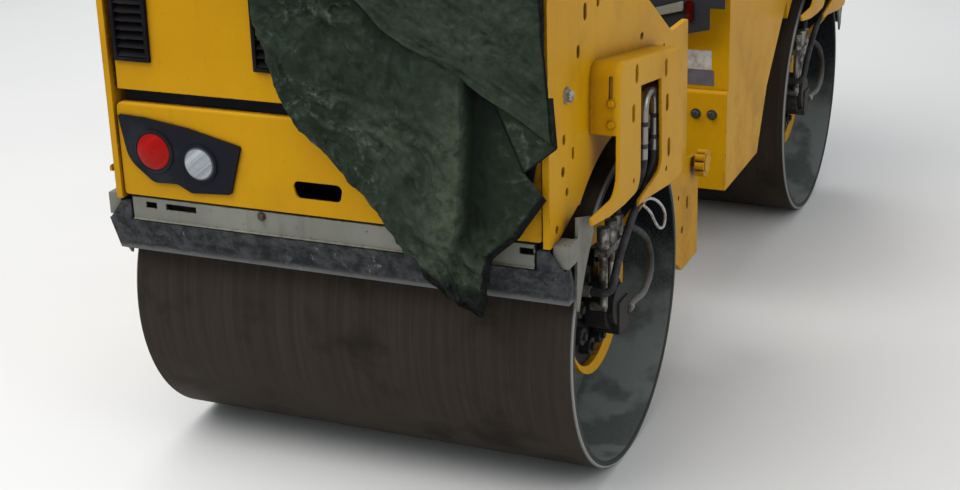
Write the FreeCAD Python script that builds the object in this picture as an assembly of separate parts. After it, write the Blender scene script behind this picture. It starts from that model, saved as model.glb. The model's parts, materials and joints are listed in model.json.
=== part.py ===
import FreeCAD, Part
import math
import os

V = FreeCAD.Vector

# Tandem vibratory roller, articulated in the middle. Millimetres.
# +Y is forward, +X the machine's right side, +Z up, origin on the ground below the pivot.

# Drums
drum_radius = 350.0
drum_width = 1000.0
drum_wall = 17.0
wheelbase = 1740.0
web_recess = 170.0
web_thickness = 12.0
hub_boss_radius = 100.0
hub_boss_length = 34.0
hub_shaft_radius = 60.0
web_hole_radius = 52.0
web_hole_circle = 215.0

# Clearances
bearing_clearance = 0.05
pin_clearance = 0.3
running_gap = 5.0
seat_gap = 0.3

# Side plates and their arches
plate_thickness = 14.0
plate_inset = 20.0
plate_margin = 6.0
plate_tip_drop = 9.0
arch_gap = 38.0
rear_overhang = 50.0
leg_length = 202.0
leg_width = 72.0
leg_foot_drop = 95.0
leg_step_rise = 155.0
plate_front_reach = 98.0
plate_shelf_rise = 112.0
plate_top_rise = 360.0
notch_y = 361.0
slope_top_y = -31.0
lashing_hole_radius = 9.0

# Deck, lamp panel and scraper; a rise is measured from the deck over the drum
deck_gap = 45.0
deck_thickness = 10.0
wall_thickness = 16.0
panel_thickness = 5.0
panel_drop = 118.0
panel_rise = 80.0
panel_lip = 16.0
panel_bend = 7.0
towing_slot_rise = 51.0
bar_height = 50.0
bar_depth = 34.0
bar_sheet = 4.0
bar_inset = 20.0
bar_bead = 5.0
flap_overlap = 5.0
flap_drop = 77.0
flap_lean = 26.0
flap_ear = 10.0
scraper_arm = 6.0

# Lamp clusters
cluster_depth = 7.0
cluster_seat = 3.5
tail_lamp_radius = 40.0
clear_lamp_radius = 35.0
bezel_width = 6.0
bezel_height = 2.5
lens_height = 7.0

# Guards over the drum ends
guard_reach = 40.0
guard_sheet = 6.0
guard_bend = 12.0
guard_rear = -181.0
guard_front = 246.0
guard_rise = 179.0
guard_fall = 68.0

# Drum carriers; the upright's rear and front edge and its wide foot's rear edge are from the drum axis
upright_span = (122.0, 190.0)
upright_foot_y = 38.0
yoke_offset = 42.0
yoke_thickness = 14.0
yoke_radius = 172.0
yoke_opening = 134.0
yoke_bend_rise = 90.0
yoke_rim_gap = 41.5
carrier_radius = 150.0
buffer_radius = 19.0
buffer_circle = 98.0
buffer_length = 24.0
motor_radius = 58.0
motor_length = 46.0

# Engine hood
hood_rise = 477.0
hood_sheet = 5.0
hood_side_gap = 10.0
hood_lift = 27.0
hood_front = 72.0
hinge_gap = 6.0
hinge_radius = 9.0
hinge_pin_radius = 4.0
vent_depth = 14.0
vent_height = 162.0
vent_rise = 60.0
vent_side_width = 83.0
vent_middle_width = 264.0
slat_pitch = 18.0
seal_thickness = 8.0
seal_height = 125.0
tarp_thickness = 48.0
tarp_front = 34.0
engine_half = 250.0
engine_reach = 280.0

# Articulation
pivot_rise = 120.0
pivot_pin_radius = 32.0
pivot_block_radius = 58.0
fork_gap = 170.0
fork_plate = 24.0
swing_shaft_radius = 42.0
barrel_radius = 27.0
rod_radius = 14.0
eye_pin_radius = 8.0
eye_play = 15.0
barrel_pin_x = -110.0
barrel_pin_reach = 84.0
# Rod's eye from the pivot: x, y
rod_eye = (-103.4, 37.6)

# Operator's station
floor_rise = 115.0
floor_thickness = 6.0
seat_rise = 290.0
seat_half = 225.0
seat_depth = 400.0
seat_back_height = 400.0
cushion_height = 85.0
seat_recline = 8.0
rops_tube = 60.0
rops_width = 860.0
rops_top_z = 2340.0
canopy_hole_radius = 7.0
canopy_hole_spacing = 600.0
platform_y = -70.0
console_gap = 4.0
console_depth = 120.0
console_half = 210.0
wheel_radius = 175.0
wheel_rim_radius = 13.0
wheel_height = 440.0
wheel_tilt = 28.0
front_hood_rise = 335.0

# Side boxes of the front module
box_back = -15.0
box_reach = 277.0
box_foot_z = 330.0
box_depth = 106.0
box_seam_z = 590.0

axle_z = drum_radius
rear_axle_y = -wheelbase / 2
front_axle_y = wheelbase / 2
plate_out = drum_width / 2 - plate_inset
plate_in = plate_out - plate_thickness
arch_radius = drum_radius + arch_gap
barrel_pin = (barrel_pin_x, rear_axle_y + arch_radius + wall_thickness + 2 + barrel_pin_reach)
face_reach = drum_radius + rear_overhang
plate_reach = face_reach + plate_margin
leg_front = arch_radius + leg_length
plate_front = arch_radius + plate_front_reach
deck_z = 2 * drum_radius + deck_gap
floor_z = deck_z + floor_rise
seat_z = floor_z + seat_rise
pivot_z = axle_z + pivot_rise
leg_foot_z = axle_z - leg_foot_drop
leg_step_z = axle_z + leg_step_rise
hood_top_z = deck_z + hood_rise
front_hood_z = deck_z + front_hood_rise
plate_shelf_z = deck_z + plate_shelf_rise
plate_top_z = deck_z + plate_top_rise
guard_top_z = deck_z + guard_rise
panel_bottom_z = deck_z - panel_drop
panel_top_z = deck_z + panel_rise
hood_bottom_z = panel_top_z + hood_lift
slot_z = panel_bottom_z + towing_slot_rise
drum_end = drum_width / 2
panel_half = plate_in - 4
bar_half = plate_in - bar_inset
guard_out = drum_end + guard_reach
yoke_inner = drum_end - web_recess + hub_boss_length + yoke_offset
yoke_outer = yoke_inner + yoke_thickness
yoke_neck_rise = math.sqrt((drum_radius - drum_wall) ** 2 - upright_span[1] ** 2) - yoke_rim_gap
rim_pass = drum_end + running_gap + 3
box_inner = plate_in - box_depth
web_face = drum_width / 2 - web_recess
hub_face = web_face + hub_boss_length
hood_half = plate_in - hood_side_gap
bar_top_z = panel_bottom_z - 5
bar_bottom_z = bar_top_z - bar_height
hinge_y = hood_front + 3
hinge_z = hood_top_z + 5
hinge_length = 60.0
hinge_places = (60 - hood_half - 4, hood_half - 60 - 56)
vent_z0 = hood_bottom_z + vent_rise
vent_z1 = vent_z0 + vent_height
front_hood_back = front_axle_y - box_reach + 1
console_y0 = front_hood_back - console_gap - console_depth
wheel_centre = (0.0, console_y0 - 50, floor_z + wheel_height)


def box(x0, x1, y0, y1, z0, z1):
    return Part.makeBox(x1 - x0, y1 - y0, z1 - z0, V(x0, y0, z0))


def rod(x, y, z, radius, length, axis):
    return Part.makeCylinder(radius, length, V(x, y, z), V(*axis))


def fuse(shapes):
    shapes = list(shapes)
    whole = shapes[0].multiFuse(shapes[1:]) if len(shapes) > 1 else shapes[0]
    return whole.removeSplitter()


def cut(shape, tools):
    tools = list(tools)
    return shape.cut(tools) if tools else shape


def rounded_wire(corners, place):
    """Closed outline of straight edges; a corner with a third value is an arc of that radius."""
    count = len(corners)
    edges = []
    ends = []
    for i, corner in enumerate(corners):
        p = V(corner[0], corner[1], 0)
        radius = corner[2] if len(corner) > 2 else 0
        if not radius:
            ends.append((p, None, p))
            continue
        before = V(corners[i - 1][0], corners[i - 1][1], 0) - p
        after = V(corners[(i + 1) % count][0], corners[(i + 1) % count][1], 0) - p
        half = before.getAngle(after) / 2
        back = radius / math.tan(half)
        before.normalize()
        after.normalize()
        middle = before + after
        middle.normalize()
        centre = p + middle * (radius / math.sin(half))
        ends.append((p + before * back, centre - middle * radius, p + after * back))
    for i in range(count):
        start, middle, end = ends[i]
        if middle is not None:
            edges.append(Part.Arc(place(start), place(middle), place(end)).toShape())
        following = ends[(i + 1) % count][0]
        if end.distanceToPoint(following) > 1e-6:
            edges.append(Part.LineSegment(place(end), place(following)).toShape())
    return Part.Wire(edges)


def plate_x(corners, x0, x1):
    """Plate across X from an outline of (y, z) corners."""
    wire = rounded_wire(corners, lambda p: V(x0, p.x, p.y))
    return Part.Face(wire).extrude(V(x1 - x0, 0, 0))


def plate_y(corners, y0, y1):
    """Plate across Y from an outline of (x, z) corners."""
    wire = rounded_wire(corners, lambda p: V(p.x, y0, p.y))
    return Part.Face(wire).extrude(V(0, y1 - y0, 0))


def plate_z(corners, z0, z1):
    """Plate across Z from an outline of (x, y) corners."""
    wire = rounded_wire(corners, lambda p: V(p.x, p.y, z0))
    return Part.Face(wire).extrude(V(0, 0, z1 - z0))


def bends(points):
    """Radius and reach along its runs of the tangent arc at each corner of a tube's route."""
    runs = [V(*p) for p in points]
    found = []
    for before, corner, after in zip(runs, runs[1:], runs[2:]):
        back = before - corner
        on = after - corner
        reach = 0.45 * min(back.Length, on.Length)
        found.append((reach * math.tan(back.getAngle(on) / 2), reach))
    return found


def tube(points, radius):
    """Round hose of straight runs joined by tangent arcs."""
    runs = [V(*p) for p in points]
    edges = []
    here = runs[0]
    for before, corner, after, (bend, reach) in zip(runs, runs[1:], runs[2:], bends(points)):
        back = before - corner
        on = after - corner
        half = back.getAngle(on) / 2
        back.normalize()
        on.normalize()
        middle = back + on
        middle.normalize()
        start = corner + back * reach
        end = corner + on * reach
        centre = corner + middle * (bend / math.sin(half))
        edges.append(Part.LineSegment(here, start).toShape())
        edges.append(Part.Arc(start, centre - middle * bend, end).toShape())
        here = end
    edges.append(Part.LineSegment(here, runs[-1]).toShape())
    path = Part.Wire(edges)
    direction = runs[1] - runs[0]
    section = Part.Wire(Part.Circle(runs[0], direction, radius).toShape())
    return path.makePipeShell([section], True, False)


def mirrored(shape):
    """The same piece on the machine's other side."""
    return shape.mirror(V(0, 0, 0), V(1, 0, 0))


def both_sides(shape):
    return Part.makeCompound([shape, mirrored(shape)])


def at_end(shape, end):
    """A piece drawn about its own drum axis at y = 0, set at the rear or the front drum.

    The rear is drawn as it stands; the front is the same piece turned end for end."""
    if end == "rear":
        return shape.translated(V(0, rear_axle_y, 0))
    turned = shape.mirror(V(0, 0, 0), V(0, 1, 0))
    return turned.translated(V(0, front_axle_y, 0))


def drum():
    """Rolling shell with a recessed web and a bored hub at each end, about the X axis."""
    half = drum_width / 2
    inner = drum_radius - drum_wall
    chamfer = 4.0
    section = [
        (-half, inner), (-half, drum_radius - chamfer), (-half + chamfer, drum_radius),
        (half - chamfer, drum_radius), (half, drum_radius - chamfer), (half, inner),
    ]
    shell = Part.Face(Part.makePolygon([V(x, 0, r) for x, r in section + section[:1]]))
    shell = shell.revolve(V(0, 0, 0), V(1, 0, 0), 360)
    pieces = [shell]
    for side in (-1, 1):
        web_start = side * (web_face - web_thickness)
        web = rod(web_start, 0, 0, inner, web_thickness, (side, 0, 0))
        boss = rod(side * web_face, 0, 0, hub_boss_radius, hub_boss_length, (side, 0, 0))
        pieces.append(cut(fuse([web, boss]), drum_openings(side)))
    return fuse(pieces).translated(V(0, 0, axle_z))


def drum_openings(side):
    bore = rod(side * (web_face - web_thickness - 1), 0, 0, hub_shaft_radius + bearing_clearance,
               web_thickness + hub_boss_length + 2, (side, 0, 0))
    openings = [bore]
    for step in range(4):
        angle = math.radians(45 + 90 * step)
        y = web_hole_circle * math.cos(angle)
        z = web_hole_circle * math.sin(angle)
        openings.append(rod(side * (web_face - web_thickness - 1), y, z, web_hole_radius,
                            web_thickness + 2, (side, 0, 0)))
    return openings


def side_plate_outline():
    """Corners of a side plate from its rear tip, under the arch, down the leg and over the top."""
    tip_z = panel_bottom_z - plate_tip_drop
    return [
        (-plate_reach, tip_z), (-plate_reach + 37, tip_z),
        (-face_reach * 0.62, axle_z + arch_radius * 0.79), (0, axle_z), (arch_radius, axle_z),
        (arch_radius, leg_foot_z + 50), (arch_radius + leg_width, leg_foot_z), (leg_front, leg_foot_z),
        (leg_front, leg_step_z), (plate_front, leg_step_z + 18), (plate_front, plate_shelf_z, 3),
        (notch_y, plate_shelf_z, 25), (slope_top_y, plate_top_z, 60),
        (-plate_reach, plate_top_z, 30),
    ]


# Holes in a side plate: y from the drum axis, z from the deck, half width, half height
plate_holes = [
    (-205, 281, 9, 17), (-131, 283, 8, 9), (-245, 213, 8, 13), (145, 152, 11, 7), (302, 93, 6, 6),
    (-326, 64, 8, 10), (-278, 24, 6, 12), (-333, 3, 9, 10), (-313, -43, 8, 8), (-369, -100, 8, 8),
]
# Holes in a leg: y from the arch, z from the leg's step, half width, half height
leg_holes = [(40, -59, 6, 6), (112, -93, 8, 16)]
# Round hole low in each leg, for a lashing hook: y from the arch, z from the leg's foot
lashing_hole = (73.0, 101.0)


def oval(y, z, half_y, half_z, x0, x1):
    radius = 0.98 * min(half_y, half_z)
    return plate_x([(y - half_y, z - half_z, radius), (y + half_y, z - half_z, radius),
                    (y + half_y, z + half_z, radius), (y - half_y, z + half_z, radius)], x0, x1)


def side_plate(end):
    plate = plate_x(side_plate_outline(), plate_in, plate_out)
    through = (plate_in - 1, plate_out + 1)
    arch = rod(through[0], 0, axle_z, arch_radius, plate_thickness + 2, (1, 0, 0))
    holes = [oval(y, deck_z + z, *half, *through) for y, z, *half in plate_holes]
    holes += [oval(arch_radius + y, leg_step_z + z, *half, *through) for y, z, *half in leg_holes]
    holes.append(rod(through[0], arch_radius + lashing_hole[0], leg_foot_z + lashing_hole[1],
                     lashing_hole_radius, plate_thickness + 2, (1, 0, 0)))
    return at_end(cut(plate, [arch] + holes), end)


def cross_frame(end):
    """Deck over the drum, front wall and the feet that tie the two side plates together."""
    wall_y = arch_radius + 2
    wide = plate_in if end == "rear" else box_inner - seat_gap
    wide_end = wall_y if end == "rear" else box_reach
    deck = box(-plate_in, plate_in, -face_reach + 8, wide_end, deck_z, deck_z + deck_thickness)
    shelf = box(-wide, wide, wide_end - 1, wall_y, deck_z, deck_z + deck_thickness)
    wall = box(-wide, wide, wall_y, wall_y + wall_thickness, leg_foot_z + 60, deck_z + deck_thickness)
    sill = box(-wide, wide, wall_y + wall_thickness, wall_y + 70, leg_foot_z + 60, leg_foot_z + 74)
    return at_end(fuse([deck, shelf, wall, sill]), end)


def lamp_panel(end):
    """Folded sheet across the end of the machine with a slot for the towing eye."""
    back = -face_reach
    front = back + panel_thickness
    fold = [(back, panel_bottom_z), (back, panel_top_z, panel_bend), (back + panel_lip, panel_top_z),
            (back + panel_lip, panel_top_z - panel_thickness), (front, panel_top_z - panel_thickness, 2),
            (front, panel_bottom_z)]
    outline = [(-panel_half, panel_bottom_z, 8), (panel_half, panel_bottom_z, 8),
               (panel_half, panel_top_z, 14), (-panel_half, panel_top_z, 14)]
    sheet = plate_x(fold, -panel_half, panel_half)
    sheet = sheet.common(plate_y(outline, back - 1, back + panel_lip + 1))
    web = box(-panel_half, panel_half, front, back + 8, deck_z, deck_z + deck_thickness)
    slot = plate_y([(-66, slot_z + 18, 12), (-56, slot_z - 18, 12), (40, slot_z - 18, 12),
                    (48, slot_z + 18, 12)], back - 1, front + 1)
    return at_end(cut(fuse([sheet, web]), [slot]), end)


# Outline of a lamp cluster's housing on the left: x from the panel's side edge, z below its top
cluster_outline = [
    (5, -26, 3), (62, -28, 20), (166, -42), (288, -70, 4), (258, -172, 7), (166, -178, 12),
    (134, -162, 20), (78, -164, 30), (22, -120, 60),
]
tail_lamp_place = (84.0, -97.0)
clear_lamp_place = (190.0, -113.0)


def lamp_centre(place):
    return -panel_half + place[0], panel_top_z + place[1]


def cluster_housing():
    """Low moulded housing with a raised bezel round each lens."""
    face = -face_reach - cluster_depth
    corners = [(-panel_half + x, panel_top_z + z, *rest) for x, z, *rest in cluster_outline]
    shell = plate_y(corners, face, -face_reach - seat_gap)
    lamps = ((tail_lamp_place, tail_lamp_radius), (clear_lamp_place, clear_lamp_radius))
    bezels = [rod(lamp_centre(place)[0], face - bezel_height, lamp_centre(place)[1],
                  radius + seat_gap + bezel_width, bezel_height + 1, (0, 1, 0)) for place, radius in lamps]
    seats = [rod(lamp_centre(place)[0], face - bezel_height - 1, lamp_centre(place)[1],
                 radius + seat_gap, bezel_height + 1 + cluster_seat, (0, 1, 0)) for place, radius in lamps]
    return cut(fuse([shell] + bezels), seats)


def lens(place, radius):
    """Domed lens in its seat, crowned outwards."""
    x, z = lamp_centre(place)
    back = -face_reach - cluster_depth + cluster_seat - seat_gap
    front = -face_reach - cluster_depth - bezel_height + 1
    crown = (radius ** 2 + lens_height ** 2) / (2 * lens_height)
    half_way = front - lens_height + crown - math.sqrt(crown ** 2 - radius ** 2 / 4)
    rim = [V(0, back, 0), V(radius, back, 0), V(radius, front, 0)]
    dome = Part.Arc(rim[-1], V(radius / 2, half_way, 0), V(0, front - lens_height, 0)).toShape()
    axis = Part.LineSegment(V(0, front - lens_height, 0), rim[0]).toShape()
    section = Part.Wire(Part.makePolygon(rim).Edges + [dome, axis])
    return Part.Face(section).revolve(V(0, 0, 0), V(0, 1, 0), 360).translated(V(x, 0, z))


def lamp_pieces(end, kind):
    if kind == "housing":
        return at_end(both_sides(cluster_housing()), end)
    if kind == "tail":
        return at_end(both_sides(lens(tail_lamp_place, tail_lamp_radius)), end)
    return at_end(both_sides(lens(clear_lamp_place, clear_lamp_radius)), end)


# Slots in the scraper bar's face: x from the bar's left end, width
bar_slots = [(32, 26), (80, 72), (bar_half * 2 - 30, 34)]


def scraper_bar(end):
    """Box bar below the lamp panel with a bead along its foot, and an arm outside each drum end."""
    back = -face_reach
    t = bar_sheet
    section = [(back, bar_bottom_z + bar_bead), (back - bar_bead, bar_bottom_z + bar_bead / 2),
               (back, bar_bottom_z), (back + bar_depth, bar_bottom_z), (back + bar_depth, bar_top_z),
               (back, bar_top_z)]
    bar = plate_x(section, -bar_half, bar_half)
    hollow = box(-bar_half + t, bar_half - t, back + t, back + bar_depth - t, bar_bottom_z + t, bar_top_z - t)
    slots = [box(-bar_half + x, -bar_half + x + width, back - 1, back + t + 1, bar_top_z - 21, bar_top_z - 8)
             for x, width in bar_slots]
    stays = box(-plate_in, plate_in, back + bar_depth - t, back + bar_depth, bar_top_z - 22, bar_top_z - 2)
    return at_end(Part.makeCompound([cut(fuse([bar, stays]), [hollow] + slots), scraper_arm_piece(),
                                     mirrored(scraper_arm_piece())]), end)


def scraper_arm_piece():
    """Block on the side plate and a curved arm that keeps close to the drum's rim."""
    x0 = drum_end + running_gap
    rim = drum_radius + 4
    foot = (-348, bar_bottom_z - 84)
    arm = plate_x([(-338, bar_top_z + 40), (-250, bar_top_z + 14), (-250, axle_z), foot],
                  x0, x0 + scraper_arm)
    arm = arm.cut(rod(x0 - 1, 0, axle_z, rim, scraper_arm + 2, (1, 0, 0)))
    arm = arm.cut(box(x0 - 1, x0 + scraper_arm + 1, -300, 0, 0, bar_bottom_z - 90))
    back = -face_reach - 2 + flap_ear + seat_gap
    block = box(plate_out + seat_gap, x0 + 1, back, back + 45, bar_bottom_z + 4, bar_top_z)
    tab = box(x0, x0 + scraper_arm, back, back + 60, bar_bottom_z + 4, bar_top_z)
    return fuse([arm, block, tab])


def scraper_flap(end):
    """Rubber strip below the bar that leans to the drum, with an upright ear beside the bar's ends."""
    half = drum_end + flap_overlap
    back = -face_reach
    top_z = bar_bottom_z - seat_gap
    foot_z = bar_bottom_z - flap_drop
    inner_y = -math.sqrt((drum_radius + running_gap) ** 2 - (foot_z - axle_z) ** 2)
    section = [(back - 4, top_z), (back + flap_lean, foot_z), (inner_y, foot_z), (back + bar_depth, top_z)]
    strip = plate_x(section, -half, half)
    ear = plate_y([(bar_half + 5, top_z - 2), (half, top_z - 2), (plate_out - 8, bar_top_z - 10, 4),
                   (bar_half + 5, bar_top_z - 10, 4)], back - 2, back - 2 + flap_ear)
    return at_end(fuse([strip, ear, mirrored(ear)]), end)


def hose_guard_outline():
    """Corners of the pressed guard over a drum end: hooked legs to the rear about an opening."""
    return [(y, deck_z + rise, *rest) for y, rise, *rest in (
        (guard_rear, guard_rise, 32), (guard_rear - 9, -81, 42), (-341, -79), (-338, -96), (-236, -111, 60),
        (-150, -116, 30), (-46, -114, 40), (-45, 100), (90, 81), (100, -116, 32), (-52, -139),
        (-54, -155), (20, -160, 60), (172, -179, 40), (guard_front + 14, -183, 22),
        (guard_front + 8, -5, 60), (guard_front, guard_rise - guard_fall, 30))]


# Slots in the guard's face: y from the drum axis, z from the deck, half width, half height
guard_slots = [
    (-72, 131, 9, 19), (-92, 55, 9, 19), (124, 94, 9, 20), (134, 17, 9, 19), (148, -85, 9, 21),
    (131, -128, 6, 6), (-90, -85, 5, 5),
]


def hose_guard(end):
    """Dished guard: its face stands off the side plate on flanges with rounded bends."""
    t = guard_sheet
    inside = guard_out - t
    blank = plate_x(hose_guard_outline(), plate_out, guard_out)
    blank = blank.makeFillet(guard_bend, [e for e in blank.Edges if on_guard_rim(e, guard_out)])
    top_z = guard_top_z - t
    foot_z = deck_z - 345
    hollow = plate_x([(guard_rear + t, foot_z), (guard_rear + t, top_z, 26),
                      (guard_front - t, top_z - guard_fall, 24), (guard_front - t, foot_z)],
                     plate_out - 1, inside)
    hollow = hollow.makeFillet(guard_bend - t, [e for e in hollow.Edges if on_guard_rim(e, inside)])
    clear = plate_x([(-400, foot_z), (-400, deck_z + 35), (guard_rear + t + 1, deck_z + 35),
                     (guard_front - t - 1, deck_z - 5), (guard_front + 60, deck_z - 5),
                     (guard_front + 60, foot_z)], plate_out - 1, inside)
    holes = [oval(y, deck_z + z, *half, inside - 1, guard_out + 1) for y, z, *half in guard_slots]
    holes.append(box(guard_out - 21, guard_out - 13, guard_rear - 20, guard_rear + t + 1,
                     deck_z + 101, deck_z + 151))
    return both_sides(place_as_built(cut(blank, [hollow, clear] + holes), end))


def on_guard_rim(edge, x):
    """Whether an edge runs along the guard's rear, top or front at the given x."""
    at = edge.CenterOfMass
    upper = at.z > deck_z - 45
    return abs(at.x - x) < 0.01 and upper and (at.y < -150 or at.y > 200 or at.z > deck_z + 117)


def place_as_built(shape, end):
    """A piece that faces the same way on both modules."""
    return shape.translated(V(0, rear_axle_y if end == "rear" else front_axle_y, 0))


# Centres about the drum axis of the yoke's ring and of its opening: y, z above the axis
ring_centre = (30.0, 0.0)
opening_centre = (-4.0, -8.0)


def drum_yoke(end):
    """Bent carrier: an upright comes down outside the drum's rim to a ring in the drum's end."""
    y0, y1 = upright_span
    bend_z = axle_z + yoke_bend_rise
    neck_z = axle_z + yoke_neck_rise
    x1 = rim_pass + yoke_thickness
    section = [(yoke_inner, axle_z + 20), (yoke_inner, bend_z), (rim_pass, neck_z), (rim_pass, deck_z + 45),
               (x1, deck_z + 45), (x1, neck_z - 4), (yoke_outer, bend_z - 6), (yoke_outer, axle_z + 20)]
    upright = plate_y(section, y0, y1)
    disc = rod(yoke_inner, ring_centre[0], axle_z + ring_centre[1], yoke_radius, yoke_thickness, (1, 0, 0))
    opening = rod(yoke_inner - 1, opening_centre[0], axle_z + opening_centre[1], yoke_opening,
                  yoke_thickness + 2, (1, 0, 0))
    foot = box(yoke_inner, yoke_outer, upright_foot_y, y1, axle_z + 12, bend_z)
    hanger = box(plate_out, rim_pass, y0, y1, deck_z - 10, deck_z + 40)
    return both_sides(place_as_built(fuse([disc.cut(opening), foot, upright, hanger]), end))


def hub_motor(end):
    """Motor on a carrier disc with rubber buffers; its shaft end turns in the drum's hub."""
    disc_x = yoke_inner - seat_gap - 12
    shaft_x = web_face - web_thickness - 6
    shaft = rod(shaft_x, 0, axle_z, hub_shaft_radius, disc_x - shaft_x + 1, (1, 0, 0))
    disc = rod(disc_x, 0, axle_z, carrier_radius, 12, (1, 0, 0))
    neck = rod(disc_x, 0, axle_z, 33, yoke_outer - disc_x + 3, (1, 0, 0))
    face_x = disc_x + 12
    buffers = []
    for step in range(7):
        angle = math.radians(90 + 40 * step)
        y = buffer_circle * math.cos(angle)
        z = axle_z + buffer_circle * math.sin(angle)
        buffers.append(rod(face_x - 1, y, z, buffer_radius, buffer_length, (1, 0, 0)))
        buffers.append(rod(face_x - 1, y, z, buffer_radius * 0.45, buffer_length + 7, (1, 0, 0)))
    start = yoke_outer + seat_gap
    body = rod(start, 0, axle_z, motor_radius, motor_length, (1, 0, 0))
    cap = rod(start + motor_length - 1, 0, axle_z, motor_radius * 0.78, 15, (1, 0, 0))
    valve = box(start + 4, start + motor_length + 18, -14, 48, axle_z - 66, axle_z + 6)
    whole = fuse([shaft, disc, neck, body, cap, valve] + buffers)
    return both_sides(place_as_built(whole, end))


# Steel pipes and unions on the motor's top: x from the drum's end, y and z from the drum axis,
# radius, length, axis
unions = [
    (-32, -70, 18, 9, 120, (0, 0, 1)), (-60, -70, 18, 9, 34, (1, 0, 0)),
    (-32, -22, 56.6, 8, 80, (0, 0, 1)), (-32, 18, 57.5, 8, 80, (0, 0, 1)),
    (-32, -70, 149, 13, 46, (0, 0, 1)), (-32, -22, 149, 13, 46, (0, 0, 1)),
    (-32, 18, 149, 13, 46, (0, 0, 1)), (-30, 33, 142, 11, 24, (0, 1, 0)),
]


def union_pieces(end):
    """Pipes and unions held by a block above the motor, and two single unions at the hoses' ends."""
    made = [rod(drum_end + x, y, axle_z + z, r, length, axis) for x, y, z, r, length, axis in unions]
    made.append(box(drum_end - 46, drum_end - 18, -84, 34, axle_z + 134, axle_z + 150))
    low = rod(drum_end - 21, 48 + seat_gap, axle_z - 32, 12, 22, (0, 1, 0))
    side = rod(yoke_inner, -96, axle_z + 60, 12, 44, (1, 0, 0))
    return both_sides(place_as_built(Part.makeCompound([fuse(made), low, side]), end))


# Hoses at a drum's end: radius, then the route as x from the drum's end, y and z from the drum axis
hose_routes = [
    (8.5, [(-32, 18, 195.3), (-32, 18, 222), (8, 26, 254), (21, 32, 300), (22, 34, 452), (21, 106, 452),
           (20, 106, 290), (2, 70, 220), (-4, 20, 178), (-4, -60, 120), (-6, -96, 60), (-49.7, -96, 60)]),
    (7.5, [(-30, 57.3, 142), (-30, 96, 142), (-12, 150, 106), (-8, 180, 50), (-8, 178, 0),
           (-14, 140, -32), (-21, 108, -32), (-21, 70.6, -32)]),
]


def hoses(end):
    made = []
    for radius, route in hose_routes:
        hose = tube([(drum_end + x, y, axle_z + z) for x, y, z in route], radius)
        made += [hose, mirrored(hose)]
    return place_as_built(Part.makeCompound(made), end)


def engine_hood():
    """Sheet cover with open front and bottom; its sides drop inside the side plates."""
    lower = hood_bottom_z
    corners = [(-face_reach + 2, lower), (-face_reach + 8, hood_top_z - 60, 40),
               (-face_reach + 70, hood_top_z, 40), (hood_front, hood_top_z), (hood_front, lower + 12)]
    outer = plate_x(corners, -hood_half, hood_half)
    t = hood_sheet
    hollow = [(-face_reach + 2 + t, lower - 1), (-face_reach + 8 + t, hood_top_z - 62, 36),
              (-face_reach + 72, hood_top_z - t, 36), (hood_front + 1, hood_top_z - t),
              (hood_front + 1, lower - 1)]
    inner = plate_x(hollow, -hood_half + t, hood_half - t)
    shell = outer.cut(inner)
    windows = [box(x0, x1, -face_reach - 5, -face_reach + 30, vent_z0, vent_z1) for x0, x1 in vent_spans()]
    knuckles = []
    for x in hinge_places:
        leaf = box(x, x + hinge_length, hood_front - 34, hinge_y, hood_top_z - 1, hinge_z + 1)
        knuckle = rod(x, hinge_y, hinge_z, hinge_radius, hinge_length, (1, 0, 0))
        bore = rod(x - 1, hinge_y, hinge_z, hinge_pin_radius + pin_clearance, hinge_length + 2, (1, 0, 0))
        knuckles.append(fuse([leaf, knuckle]).cut(bore))
    return fuse([cut(shell, windows)] + knuckles).translated(V(0, rear_axle_y, 0))


def vent_spans():
    """Left and right edge of each louvre window across the hood's rear."""
    side = hood_half - 3
    return [(-side, -side + vent_side_width), (-vent_middle_width / 2, vent_middle_width / 2),
            (side - vent_side_width, side)]


def hood_vents():
    """Louvre inserts: a frame with a stack of slats, one for each window of the hood."""
    made = []
    for x0, x1 in vent_spans():
        gap = seat_gap
        y0 = -face_reach - 4
        y1 = -face_reach + vent_depth
        frame = box(x0 + gap, x1 - gap, y0, y1, vent_z0 + gap, vent_z1 - gap)
        frame = frame.cut(box(x0 + 8, x1 - 8, y0 - 1, y1 + 1, vent_z0 + 8, vent_z1 - 8))
        slats = []
        count = int((vent_z1 - vent_z0 - 16) / slat_pitch)
        for step in range(count):
            z = vent_z0 + 10 + slat_pitch * step
            slats.append(plate_x([(y0 + 1, z), (y0 + 4, z), (y1 - 1, z + 12), (y1 - 4, z + 12)],
                                 x0 + 6, x1 - 6))
        made.append(fuse([frame] + slats))
    return Part.makeCompound(made).translated(V(0, rear_axle_y, 0))


def bulkhead():
    """Fixed cover between the hood and the operator's station, with the hood's hinge pins."""
    y0 = hood_front + hinge_gap
    y1 = arch_radius - 4
    t = 4.0
    outline = [(y0, hood_top_z - 14), (y0 + 30, hood_top_z - 16, 20), (y0 + 106, deck_z + 206, 60),
               (y1, plate_shelf_z - 22), (y1, plate_shelf_z - 82)]
    inner = [(y - t, z - t) + tuple(rest) for y, z, *rest in outline]
    band = [(y, z) for y, z, *rest in outline] + [(y, z) for y, z, *rest in reversed(inner)]
    sheet = plate_x(band, -hood_half, hood_half)
    sides = []
    for side in (-1, 1):
        x0 = min(side * (hood_half - t), side * hood_half)
        sides.append(plate_x([(y0, hood_top_z - 16), (y0 + 30, hood_top_z - 18), (y0 + 106, deck_z + 204),
                              (y1 - 1, plate_shelf_z - 24), (y1 - 1, plate_shelf_z - 82),
                              (y0, deck_z + deck_thickness + seat_gap)], x0, x0 + t))
    return at_end(fuse([sheet] + sides), "rear")


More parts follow.
